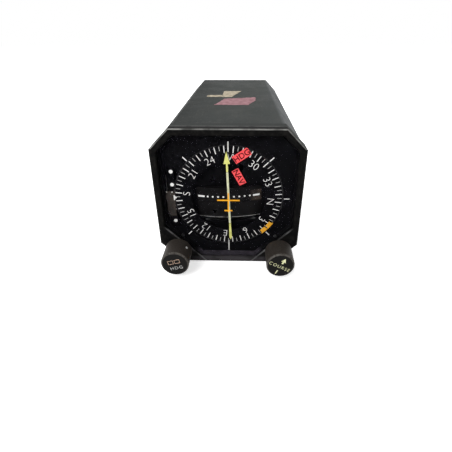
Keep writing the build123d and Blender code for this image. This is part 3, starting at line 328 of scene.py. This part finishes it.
# %% Knob plastic
knob_plastic, tree, shader = finish("knob_plastic", {"Specular IOR Level": 0.06})
point, (x, y, z) = place_of(tree)
behind_face = y + bezel_depth - knob_front
face = behind_face.between(0.12, 0.02)
wear_front = behind_face.between(0.0, 0.3)
wear_back = behind_face.between(1.3, 0.7)
rub = noise(point, 0.7, 5.0, 0.7).between(0.36, 0.6)
worn = wear_front * wear_back * rub * 0.3
speckle = noise(point, 2.2, 4.0, 0.7).between(0.4, 0.7)
side = speckle.mix((0.024, 0.02, 0.017, 1), (0.046, 0.04, 0.035, 1))
side = worn.mix(side, (0.2, 0.19, 0.175, 1))
feed(tree, shader, Base_Color=face.mix(side, (0.0045, 0.0042, 0.004, 1)))
feed(tree, shader, Roughness=0.55 + (speckle - 0.5) * 0.2 - worn * 0.2)
grain(tree, shader, speckle, 0.25, 0.04)
print("knob plastic nodes:", len(tree.nodes))

# %% [markdown]
# ## Two-coloured pieces
# The heading bug is one piece with its drive ring, and only its two blocks are orange. The
# glideslope pointer is a dark plate with a white tip. The deviation scale is black with a
# brown patch where its film has lifted and a painted highlight along its lower edge. The black
# surround has a painted pale violet sheen on its lower wall. The heading flag is red on its
# plate alone, not on its arm. The lubber lines are dark strips with a white line, and the
# deviation bar is dull along its two edges. Places on the piece pick these areas.

# %% Heading bug and glideslope pointer
bug_paint, tree, shader = finish("bug_paint", {"Specular IOR Level": 0.25})
point, (x, y, z) = place_of(tree)
bug_way = radians(90 - bug_clock)
along = x * cos(bug_way) + z * sin(bug_way)
across = (z * cos(bug_way) - x * sin(bug_way)).size()
block = (along > 20.0) * (across < 5.0) * (y < depth_y(bug_front + 0.19) / mm)
drift = noise(point, 0.6, 4.0).between(0.35, 0.65)
bright = drift.mix((0.92, 0.42, 0.02, 1), (1.0, 0.5, 0.04, 1))
feed(tree, shader, Base_Color=block.mix((0.006, 0.006, 0.007, 1), bright))
feed(tree, shader, Roughness=0.55 + (drift - 0.5) * 0.15)

pointer_paint, tree, shader = finish("pointer_paint", {"Specular IOR Level": 0.25})
point, (x, y, z) = place_of(tree)
drift = noise(point, 0.5, 4.0).between(0.35, 0.65)
plate = drift.mix((0.016, 0.012, 0.01, 1), (0.034, 0.026, 0.021, 1))
tip = (x > -31.75) * (y < depth_y(flag_front + 0.19) / mm) * (z.size() < 1.6)
feed(tree, shader, Base_Color=tip.mix(plate, (0.74, 0.74, 0.72, 1)))
feed(tree, shader, Roughness=0.6 + (drift - 0.5) * 0.2)

# %% Deviation scale and dial surround
scale_black, tree, shader = finish("scale_black", {"Specular IOR Level": 0.06})
point, (x, y, z) = place_of(tree)
along = x * cos(course_axis) - z * sin(course_axis)
up = z * cos(course_axis) + x * sin(course_axis)
patch = along.between(11.5, 15.5) * (up.size()).between(3.6, 3.0)
cloud = noise(point, 0.35, 5.0, 0.6).between(0.3, 0.68)
base = cloud.mix((0.003, 0.003, 0.0035, 1), (0.0055, 0.005, 0.005, 1))
base = (patch * (0.35 + cloud * 0.65)).mix(base, (0.06, 0.045, 0.034, 1))
# A painted highlight along the scale's lower edge.
edge = up.between(-12.95, -13.15) * noise(point, 0.35, 3.0).between(0.35, 0.55)
feed(tree, shader, Base_Color=(edge * 0.8).mix(base, (0.5, 0.5, 0.48, 1)))
feed(tree, shader, Roughness=0.6 + (cloud - 0.5) * 0.2)

surround_paint, tree, shader = finish("surround_paint", {"Specular IOR Level": 0.08})
point, (x, y, z) = place_of(tree)
cloud = noise(stretched(point, (1.0, 1.0, 3.0)), 0.3, 5.0, 0.65).between(0.3, 0.7)
# A painted pale violet sheen on the lower wall, in streaks.
painted_wall_sheen = z.between(-33.0, -35.5) * (0.35 + cloud * 0.65)
feed(tree, shader, Base_Color=painted_wall_sheen.mix((0.0025, 0.0025, 0.003, 1), (0.05, 0.044, 0.056, 1)))
feed(tree, shader, Roughness=0.6 + (cloud - 0.5) * 0.2)

# %% Heading flag, lubber lines and deviation bar
flag_half_length, flag_half_width = 4.96, 2.34
flag_paint, tree, shader = finish("flag_paint", {"Specular IOR Level": 0.25})
point, (x, y, z) = place_of(tree)
flag_way = radians(flag_lean)
along = ((x - flag_x) * cos(flag_way) + (z - flag_z) * sin(flag_way)).size()
across = ((z - flag_z) * cos(flag_way) - (x - flag_x) * sin(flag_way)).size()
plate = (along < flag_half_length) * (across < flag_half_width)
drift = noise(point, 0.5, 4.0).between(0.3, 0.7)
red = drift.mix((1.0, 0.075, 0.08, 1), (1.0, 0.1, 0.11, 1))
feed(tree, shader, Base_Color=plate.mix((0.004, 0.004, 0.005, 1), red))
feed(tree, shader, Roughness=0.55 + (drift - 0.5) * 0.15)

lubber_paint, tree, shader = finish("lubber_paint", {"Specular IOR Level": 0.2})
point, (x, y, z) = place_of(tree)
drift = noise(point, 0.5, 4.0).between(0.3, 0.7)
core = x.size().between(0.36, 0.24)
line = drift.mix((0.6, 0.6, 0.58, 1), (0.8, 0.8, 0.78, 1))
feed(tree, shader, Base_Color=core.mix((0.01, 0.01, 0.01, 1), line))
feed(tree, shader, Roughness=0.6 + (drift - 0.5) * 0.15)

bar_paint, tree, shader = finish("bar_paint", {"Specular IOR Level": 0.3})
point, (x, y, z) = place_of(tree)
along = (x * cos(course_axis) - z * sin(course_axis)).size()
lit = noise(point, 0.5, 3.0).between(0.3, 0.7)
stripe = lit.mix((0.6, 0.62, 0.36, 1), (0.76, 0.76, 0.55, 1))
feed(tree, shader, Base_Color=along.between(0.5, 0.62).mix(stripe, (0.28, 0.29, 0.2, 1)))
feed(tree, shader, Roughness=0.5 + (lit - 0.5) * 0.15)
print("materials so far:", len(bpy.data.materials))

# %% [markdown]
# ## Metals
# Turned and drawn metal shows fine lines, so its roughness comes from noise stretched along
# one axis. One helper makes steel, zinc plating, brass, gold and the grey of the castings. The
# board's green and the two papers of the torn labels are paints again.


# %% Metals, board and paper
def metal(name, tint, gloss, stretch, lump=2.5, metallic=1.0):
    """A metal with fine lines drawn out along one axis."""
    material, tree, shader = finish(name, {"Metallic": metallic})
    point, _ = place_of(tree)
    lines = noise(stretched(point, stretch), lump, 3.0)
    cloud = noise(point, 0.2, 4.0).between(0.3, 0.7)
    dull = tuple(part * 0.78 for part in tint)
    feed(tree, shader, Base_Color=cloud.mix((*dull, 1), (*tint, 1)))
    feed(tree, shader, Roughness=gloss + (lines - 0.5) * 0.3 + (cloud - 0.5) * 0.1)
    grain(tree, shader, lines, 0.12, 0.02)
    return material


steel = metal("steel", (0.56, 0.56, 0.57), 0.35, (1.0, 0.1, 1.0))
zinc_plating = metal("zinc_plating", (0.8, 0.8, 0.79), 0.5, (1.0, 1.0, 1.0), 2.5, 0.3)
brass = metal("brass", (0.72, 0.52, 0.24), 0.35, (1.0, 0.1, 1.0))
gold_contact = metal("gold_contact", (0.85, 0.62, 0.25), 0.25, (1.0, 0.2, 1.0))
cast_aluminium = metal("cast_aluminium", (0.55, 0.56, 0.57), 0.5, (1.0, 1.0, 1.0), 1.5)
plated_shell = metal("plated_shell", (0.2, 0.2, 0.12), 0.45, (1.0, 1.0, 0.1), 1.8, 0.7)
board_green = paint("board_green", (0.02, 0.12, 0.04), (0.03, 0.18, 0.06), 0.3, specular=0.5)
beige_paper = paint("beige_paper", (0.17, 0.14, 0.1), (0.34, 0.3, 0.225), 0.8, 0.35, 2.0, 0.5, 0.1)
pink_paper = paint("pink_paper", (0.14, 0.062, 0.068), (0.24, 0.13, 0.145), 0.75, 0.25, 2.0, 0.5, 0.1)

# %% [markdown]
# ## Glass
# The front glass is coated against glare, so the dial stays dark and clear behind it. A mostly
# see-through shader with a faint smear and no mirror gloss is closer to that than plain glass,
# whose reflections of the lamps would also show as bright specks.

# %% Glass
glass, tree, shader = finish("glass", {"Specular IOR Level": 0.0, "IOR": 1.45})
point, _ = place_of(tree)
smear = noise(stretched(point, (0.5, 1.0, 1.0)), 0.08, 5.0, 0.6).between(0.35, 0.7)
feed(tree, shader, Base_Color=smear.mix((0.004, 0.004, 0.006, 1), (0.012, 0.011, 0.016, 1)))
feed(tree, shader, Roughness=0.25 + smear * 0.15)
feed(tree, shader, Alpha=0.03 + smear * 0.05)

# %% [markdown]
# ## Dressing the CAD pieces
# The record names one slot for each piece, and each slot has one finish. Five pieces get a
# finish of their own. The front frame is one: it shows through the window of the glideslope, so
# it is as black as the dial there.

# %% Give the CAD pieces their finishes
finishes = {
    "bezel_paint": bezel_paint,
    "glass": glass,
    "orange_paint": orange_paint,
    "dial_black": dial_black,
    "white_paint": white_paint,
    "black_steel": black_steel,
    "steel": steel,
    "cast_aluminium": cast_aluminium,
    "case_paint": case_paint,
    "plated_shell": plated_shell,
    "insert_rubber": insert_rubber,
    "gold_contact": gold_contact,
    "brass": brass,
    "board_green": board_green,
    "lamp_glass": white_paint,
    "bug_paint": bug_paint,
    "yellow_paint": yellow_paint,
    "bar_paint": bar_paint,
    "red_paint": red_paint,
    "pointer_paint": pointer_paint,
    "knob_plastic": knob_plastic,
}
own_finish = {
    "deviation_scale": scale_black,
    "dial_surround": surround_paint,
    "front_frame": dial_black,
    "heading_flag": flag_paint,
    "lubber_lines": lubber_paint,
}
for subpart in frame["record"]["subparts"]:
    node = frame["nodes"][subpart["node"]]
    chosen = own_finish.get(node.name, finishes[subpart["material_slot"]])
    node.data.materials.clear()
    node.data.materials.append(chosen)

# %% [markdown]
# ## Making marks as by hand
# Every mark is first drawn flat at the origin: a plane or circle is added, extruded by the
# thickness of paint and its edge bevelled. Then it is stood on the dial, where +Z of the
# drawing faces the pilot, and its place is applied to its mesh.


# %% Tools for flat marks
def deselect():
    """Leave nothing selected, so that the next operator acts on one piece only."""
    bpy.ops.object.select_all(action="DESELECT")


def raise_face(piece, edge=0.012):
    """Extrude a flat outline towards +Z and bevel its edges."""
    bpy.context.view_layer.objects.active = piece
    bpy.ops.object.mode_set(mode="EDIT")
    bpy.ops.mesh.select_all(action="SELECT")
    lift = (0, 0, (paint_rise + paint_sink) * mm)
    bpy.ops.mesh.extrude_region_move(TRANSFORM_OT_translate={"value": lift})
    bpy.ops.mesh.bevel(offset=edge * mm, segments=1, affect="EDGES")
    bpy.ops.mesh.select_all(action="SELECT")
    bpy.ops.mesh.normals_make_consistent(inside=False)
    bpy.ops.object.mode_set(mode="OBJECT")
    return piece


def flat_plane(width, length):
    """A plain plane at the origin, width along X and length along Y."""
    deselect()
    bpy.ops.mesh.primitive_plane_add(size=1)
    plane = bpy.context.object
    plane.scale = (width * mm, length * mm, 1)
    bpy.ops.object.transform_apply(location=False, rotation=False, scale=True)
    return plane


def flat_bar(width, length):
    """A raised bar of paint at the origin."""
    return raise_face(flat_plane(width, length))


def flat_dot(radius, corners=20):
    """A raised round or many-cornered mark at the origin."""
    deselect()
    bpy.ops.mesh.primitive_circle_add(vertices=corners, radius=radius * mm, fill_type="NGON")
    return raise_face(bpy.context.object)


def letters(words, height, weight, spread=1.0):
    """Raised letters at the origin, as tall, as bold and as widely spaced as asked."""
    deselect()
    bpy.ops.object.text_add()
    text = bpy.context.object
    text.data.body = words
    text.data.align_x = "CENTER"
    text.data.align_y = "CENTER"
    text.data.offset = weight
    text.data.space_character = spread
    text.data.resolution_u = 4
    bpy.ops.object.convert(target="MESH")
    bpy.ops.object.origin_set(type="ORIGIN_GEOMETRY", center="BOUNDS")
    text.location = (0, 0, 0)
    share = height * mm / text.dimensions.y
    text.scale = (share, share, 1)
    bpy.ops.object.transform_apply(location=True, rotation=False, scale=True)
    return raise_face(text, 0.004)


def stand(piece, x, z, depth, clock=0.0, tilt=0.0):
    """Stand a flat drawing on the dial, turned clockwise as the pilot sees it."""
    deselect()
    piece.select_set(True)
    bpy.context.view_layer.objects.active = piece
    piece.matrix_world = (
        Matrix.Translation((x * mm, depth_y(depth + paint_sink), z * mm))
        @ Matrix.Rotation(radians(clock), 4, "Y")
        @ Matrix.Rotation(radians(tilt), 4, "Z")
        @ Matrix.Rotation(pi / 2, 4, "X")
    )
    bpy.ops.object.transform_apply(location=True, rotation=True, scale=True)
    return piece


def twin(piece):
    """A copy of a piece with a mesh of its own."""
    deselect()
    piece.select_set(True)
    bpy.context.view_layer.objects.active = piece
    bpy.ops.object.duplicate(linked=False)
    return bpy.context.object


def gather(marks, name, body, material):
    """Join marks into one piece, finish it and let it ride on its body."""
    deselect()
    for mark in marks:
        mark.select_set(True)
    piece = marks[0]
    bpy.context.view_layer.objects.active = piece
    if len(marks) > 1:
        bpy.ops.object.join()
    bpy.ops.object.transform_apply(location=True, rotation=True, scale=True)
    piece.name = name
    piece.data.name = name
    piece.data.materials.clear()
    piece.data.materials.append(material)
    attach(piece, body)
    print(name, "faces:", len(piece.data.polygons))
    return piece


def dial_point(radius, clock):
    """The X and Z of a point on the dial, in millimetres, at a clock angle."""
    return radius * sin(radians(clock)), radius * cos(radians(clock))


def around(pattern, radius, clocks, depth):
    """Copies of a drawing round the dial, their tops outwards, at clock angles."""
    placed = []
    for clock in clocks:
        x, z = dial_point(radius, clock)
        placed.append(stand(twin(pattern), x, z, depth, clock))
    bpy.data.objects.remove(pattern)
    return placed


# %% [markdown]
# ## The compass card
# The card has a tick every five degrees: long bright ones at each ten, and shorter, dimmer
# ones between. A number or a letter stands at every thirty. One tick of each kind is modelled
# and copied round the card, which is turned so that its heading stands at the top.

# %% Ticks of the card
long_inner, long_outer, long_width = 26.9, 30.7, 0.46
short_inner, short_outer, short_width = 28.15, 30.65, 0.3
tens = [ten - heading_at_top for ten in range(0, 360, 10)]
fives = [ten + 5 - heading_at_top for ten in range(0, 360, 10)]
long_tick = flat_bar(long_width, long_outer - long_inner)
short_tick = flat_bar(short_width, short_outer - short_inner)
ticks = around(long_tick, (long_inner + long_outer) / 2, tens, card_front)
gather(ticks, "card_long_ticks", "card", white_paint)
ticks = around(short_tick, (short_inner + short_outer) / 2, fives, card_front)
gather(ticks, "card_short_ticks", "card", grey_paint)

# %% Numbers of the card
card_words = ["N", "3", "6", "E", "12", "15", "S", "21", "24", "W", "30", "33"]
number_radius, number_height, number_weight = 24.3, 3.95, -0.02
numbers = []
for step, word in enumerate(card_words):
    clock = 30 * step - heading_at_top
    number = letters(word, number_height, number_weight)
    x, z = dial_point(number_radius, clock)
    numbers.append(stand(number, x, z, card_front, clock))
gather(numbers, "card_numbers", "card", white_paint)

# %% [markdown]
# ## Marks on the mask, the glideslope scale and the bug
# Five index marks stand round the opening of the mask, at the right and at the four slanting
# places. Four round dots on the left are the glideslope scale. A thin dark line parts the two
# blocks of the bug.

# %% Index marks, dots and the bug's line
index_radius, dot_x = 33.35, -32.1
marks = around(flat_bar(0.52, 3.1), index_radius, [45, 90, 135, 225, 315], mask_front)
gather(marks, "index_marks", "root", white_paint)
dot = flat_dot(1.1)
dots = [stand(twin(dot), dot_x, z, card_front) for z in (-15.75, -7.87, 7.87, 15.75)]
bpy.data.objects.remove(dot)
gather(dots, "glideslope_dots", "root", white_paint)
bug_line = around(flat_bar(0.24, 2.3), 30.25, [bug_clock], bug_front)
gather(bug_line, "bug_line", "bug", letter_black)

# %% [markdown]
# ## Marks on the deviation scale
# The scale's front is a part of a cylinder about the deviation bar's pivot, so each mark is
# set at its own depth and tilted to lie on the curve. A long dash lies near each end.

# %% Dots and dashes of the deviation scale
pivot_depth, band_radius = 66.85, 59.4
course_sin, course_cos = sin(course_axis), cos(course_axis)


def on_band(mark, reach):
    """Lay a mark on the scale's curved band at a reach from its middle."""
    angle = atan2(reach, sqrt(band_radius**2 - reach**2))
    depth = pivot_depth - band_radius * cos(angle)
    return stand(mark, reach * course_cos, -reach * course_sin, depth, course_turn, angle * 180 / pi)


small_dot = flat_dot(0.55, 14)
reaches = [side * reach for reach in (3.1, 6.2, 9.3, 12.3) for side in (-1, 1)]
dots = [on_band(twin(small_dot), reach) for reach in reaches]
bpy.data.objects.remove(small_dot)
gather(dots, "deviation_dots", "course", white_paint)
dash = flat_bar(4.0, 1.05)
dashes = [on_band(twin(dash), side * 16.1) for side in (-1, 1)]
bpy.data.objects.remove(dash)
gather(dashes, "deviation_dashes", "course", white_paint)

# %% [markdown]
# ## Words on the flags
# Two red flags warn that the heading or the navigation signal is lost. Their words are plain
# dark letters printed along each flag.

# %% Flag words
word = stand(letters("HDG", 3.25, 0.01), flag_x + 0.05, flag_z, flag_front, -flag_lean)
gather([word], "heading_flag_word", "heading_flag", letter_black)
nav_right, nav_up = 6.36, 11.34
nav_x = nav_right * course_cos + nav_up * course_sin
nav_z = nav_up * course_cos - nav_right * course_sin
word = stand(letters("NAV", 3.2, 0.01), nav_x, nav_z, nav_flag_front, 63.7 + course_turn)
gather([word], "nav_flag_word", "nav_flag", letter_black)

# %% [markdown]
# ## The knobs' faces
# The left knob turns the heading bug and carries its outline: two blocks side by side. The
# right knob turns the course arrow and carries an arrow and a bar. Both have a plain word.


# %% A drawing on a knob's face
def outline_block(width, height, line):
    """A raised rectangular outline at the origin."""
    block = flat_plane(width, height)
    bpy.ops.object.mode_set(mode="EDIT")
    bpy.ops.mesh.select_all(action="SELECT")
    bpy.ops.mesh.inset(thickness=line * mm)
    bpy.ops.mesh.delete(type="FACE")
    bpy.ops.object.mode_set(mode="OBJECT")
    return raise_face(block)


def on_face(mark, side, right, up, turn):
    """Stand a mark on a knob's face, at a place on the face turned with the knob."""
    angle = radians(turn)
    x = side * knob_x + right * cos(angle) + up * sin(angle)
    z = knob_z + up * cos(angle) - right * sin(angle)
    return stand(mark, x, z, knob_front, turn)


# %% Heading knob's face
heading_turn = -14.0
blocks = []
for side in (-1, 1):
    blocks.append(on_face(outline_block(3.1, 2.5, 0.2), -1, side * 1.9, 1.7, heading_turn))
gather(blocks, "heading_knob_mark", "heading_knob", pictogram_orange)
word = on_face(letters("HDG", 2.05, -0.012, 1.25), -1, 0.3, -2.5, heading_turn)
gather([word], "heading_knob_word", "heading_knob", grey_paint)

# %% Course knob's face
face_turn = 27.0
head = flat_dot(1.7, 3)
tail = flat_bar(1.0, 1.6)
bar = flat_bar(0.5, 2.7)
marks = [on_face(head, 1, 0.0, 3.9, face_turn), on_face(tail, 1, 0.0, 2.5, face_turn)]
marks.append(on_face(bar, 1, 0.0, -4.6, face_turn))
gather(marks, "course_knob_mark", "course_knob", pictogram_yellow)
word = on_face(letters("COURSE", 2.0, -0.012, 1.24), 1, -0.3, -0.6, face_turn)
gather([word], "course_knob_word", "course_knob", pictogram_yellow)

# %% [markdown]
# ## Torn labels on the case
# Two labels were pulled off the top of the case and left their torn paper. Each starts as a
# fine grid, is cut slantwise with bisect, and has its border points shaken a little.


# %% Torn paper
def torn_paper(name, left, right, near, far, cuts, material, seed):
    """A thin torn sheet on the case's top, cut by slanting lines."""
    deselect()
    bpy.ops.mesh.primitive_grid_add(x_subdivisions=22, y_subdivisions=14, size=1)
    sheet = bpy.context.object
    sheet.scale = ((right - left) * mm, (far - near) * mm, 1)
    height = (case_top + 0.01) * mm
    sheet.location = ((left + right) / 2 * mm, depth_y((near + far) / 2), height)
    bpy.ops.object.transform_apply(location=True, rotation=False, scale=True)
    bpy.ops.object.mode_set(mode="EDIT")
    for point_x, point_depth, way_x, way_depth in cuts:
        bpy.ops.mesh.select_all(action="SELECT")
        bpy.ops.mesh.bisect(
            plane_co=(point_x * mm, depth_y(point_depth), height),
            plane_no=(way_x, way_depth, 0),
            clear_outer=True,
        )
    bpy.ops.mesh.select_all(action="SELECT")
    bpy.ops.mesh.region_to_loop()
    bpy.ops.transform.vertex_random(offset=0.5 * mm, uniform=1.0, seed=seed)
    bpy.ops.mesh.select_all(action="SELECT")
    bpy.ops.transform.resize(value=(1, 1, 0), center_override=(0, 0, height))
    bpy.ops.mesh.extrude_region_move(TRANSFORM_OT_translate={"value": (0, 0, 0.06 * mm)})
    bpy.ops.mesh.select_all(action="SELECT")
    bpy.ops.mesh.normals_make_consistent(inside=False)
    bpy.ops.object.mode_set(mode="OBJECT")
    gather([sheet], name, "root", material)


torn_paper("beige_label", -7.5, 6.2, 94, 121, [(6.2, 121, 1, -0.25), (-7, 94, 0.05, -1)], beige_paper, 3)
torn_paper("beige_label_strip", -19.4, -7.3, 95, 102.5, [(-19.4, 99, -1, 0.2)], beige_paper, 7)
pink_cuts = [(-11.4, 65, -1, 0.25), (11.5, 66, 1, -0.35), (-8, 87, -0.25, 1)]
torn_paper("pink_label", -12, 17, 65, 95, pink_cuts, pink_paper, 5)

# %% [markdown]
# ## Small fasteners
# Four screws hold the connector's flange, and a set screw in each knob's side holds it on its
# shaft. The glideslope pointer has a thin film on its plate, a little wider than the plate, with
# two bright rivets at its upper corners.


# %% A slotted screw's head
def screw_head(radius, height, slot):
    """A slotted round head at the origin, facing +Z, cut at a large size and then shrunk."""
    deselect()
    bpy.ops.mesh.primitive_cylinder_add(vertices=24, radius=radius, depth=height)
    head = bpy.context.object
    bpy.ops.object.mode_set(mode="EDIT")
    bpy.ops.mesh.select_all(action="SELECT")
    bpy.ops.mesh.bevel(offset=radius * 0.08, segments=2, affect="EDGES")
    bpy.ops.object.mode_set(mode="OBJECT")
    deselect()
    bpy.ops.mesh.primitive_cube_add(size=1, location=(0, 0, height / 2))
    cutter = bpy.context.object
    cutter.scale = (3 * radius, slot, height * 0.8)
    deselect()
    head.select_set(True)
    bpy.context.view_layer.objects.active = head
    cut = head.modifiers.new("slot", "BOOLEAN")
    cut.operation = "DIFFERENCE"
    cut.object = cutter
    bpy.ops.object.modifier_apply(modifier=cut.name)
    bpy.data.objects.remove(cutter)
    head.scale = (mm, mm, mm)
    bpy.ops.object.transform_apply(location=False, rotation=False, scale=True)
    return head


# %% Screws of the flange and the knobs
flange_rear = 192.0
flange_corners = [(-12.5, -6.5), (12.5, -6.5), (-12.5, 18.5), (12.5, 18.5)]
flange_screw = screw_head(radius=1.7, height=1.1, slot=0.4)
heads = []
for x, z in flange_corners:
    head = twin(flange_screw)
    place = Matrix.Translation((x * mm, depth_y(flange_rear + 0.5), z * mm))
    head.matrix_world = place @ Matrix.Rotation(-pi / 2, 4, "X")
    heads.append(head)
bpy.data.objects.remove(flange_screw)
gather(heads, "flange_screws", "root", steel)

screw_behind_face, screw_out = 9.1, 7.62
for side, knob, lean in [(-1, "heading_knob", 48), (1, "course_knob", 150)]:
    screw = screw_head(radius=0.75, height=0.7, slot=0.3)
    axis = Matrix.Translation((side * knob_x * mm, depth_y(knob_front + screw_behind_face), knob_z * mm))
    out = Matrix.Translation((0, 0, screw_out * mm))
    screw.matrix_world = axis @ Matrix.Rotation(radians(lean), 4, "Y") @ out
    gather([screw], knob + "_screw", knob, zinc_plating)

# %% Film and rivets of the glideslope pointer
film = stand(flat_bar(4.95, 15.9), -33.5, -4.0, flag_front)
gather([film], "pointer_film", "glideslope", pointer_paint)
rivet = flat_dot(0.35, 12)
rivets = [stand(twin(rivet), x, 3.5, flag_front - paint_rise) for x in (-35.5, -32.4)]
bpy.data.objects.remove(rivet)
gather(rivets, "pointer_rivets", "glideslope", white_paint)

# %% [markdown]
# ## Floor and light
# The photograph is lit softly from above against white. A pale floor and a world that is white
# to camera, gloss and glass give the background, while the light on the object stays plain. Two
# large lamps shape the top and the front.


# %% Floor
def background_ray(tree):
    """1 for the rays by which the camera, gloss and glass see the background, otherwise 0."""
    wire = Wire(tree)
    rays = ("Is Camera Ray", "Is Glossy Ray", "Is Transmission Ray")
    camera_ray, glossy_ray, through_ray = [wire.make("ShaderNodeLightPath", {}, {}, ray) for ray in rays]
    return wire.math("MAXIMUM", wire.math("MAXIMUM", camera_ray, glossy_ray), through_ray)


deselect()
bpy.ops.mesh.primitive_plane_add(size=6, location=(0, 0, floor_height * mm))
floor = bpy.context.object
floor.name = "floor"
floor_paper, tree, shader = finish("floor_paper", {"Roughness": 0.9, "Specular IOR Level": 0.1})
point, _ = place_of(tree)
tone = noise(point, 0.01, 2.0)
feed(tree, shader, Base_Color=tone.mix((0.9, 0.9, 0.9, 1), (0.93, 0.93, 0.93, 1)))
feed(tree, shader, Emission_Color=tone.mix((1, 1, 1, 1), (0.98, 0.98, 0.98, 1)))
feed(tree, shader, Emission_Strength=background_ray(tree) * 0.62)
floor.data.materials.append(floor_paper)

# %% World and lamps
world_light = 0.42
world = bpy.data.worlds.new("studio")
bpy.context.scene.world = world
world.use_nodes = True
tree = world.node_tree
background = tree.nodes["Background"]
background.inputs["Color"].default_value = (1, 1, 1, 1)
strength = world_light + background_ray(tree) * (1 - world_light)
tree.links.new(strength.socket, background.inputs["Strength"])


def lamp(name, place, aim, size, power):
    """A square soft lamp at a place, turned to its aim."""
    data = bpy.data.lights.new(name, "AREA")
    data.size = size
    data.energy = power
    lit = bpy.data.objects.new(name, data)
    bpy.context.scene.collection.objects.link(lit)
    turn = (Vector(place) - Vector(aim)).to_track_quat("Z", "Y")
    lit.matrix_world = Matrix.Translation(place) @ turn.to_matrix().to_4x4()


lamp("top_lamp", (-0.1, 0.35, 0.7), (0, 0.05, 0), 0.6, 7.0)
lamp("front_lamp", (-0.35, -0.55, 0.55), (0, -0.01, 0), 0.4, 5.0)

# %% Finish
view = bpy.context.scene.view_settings
view.view_transform = "Standard"
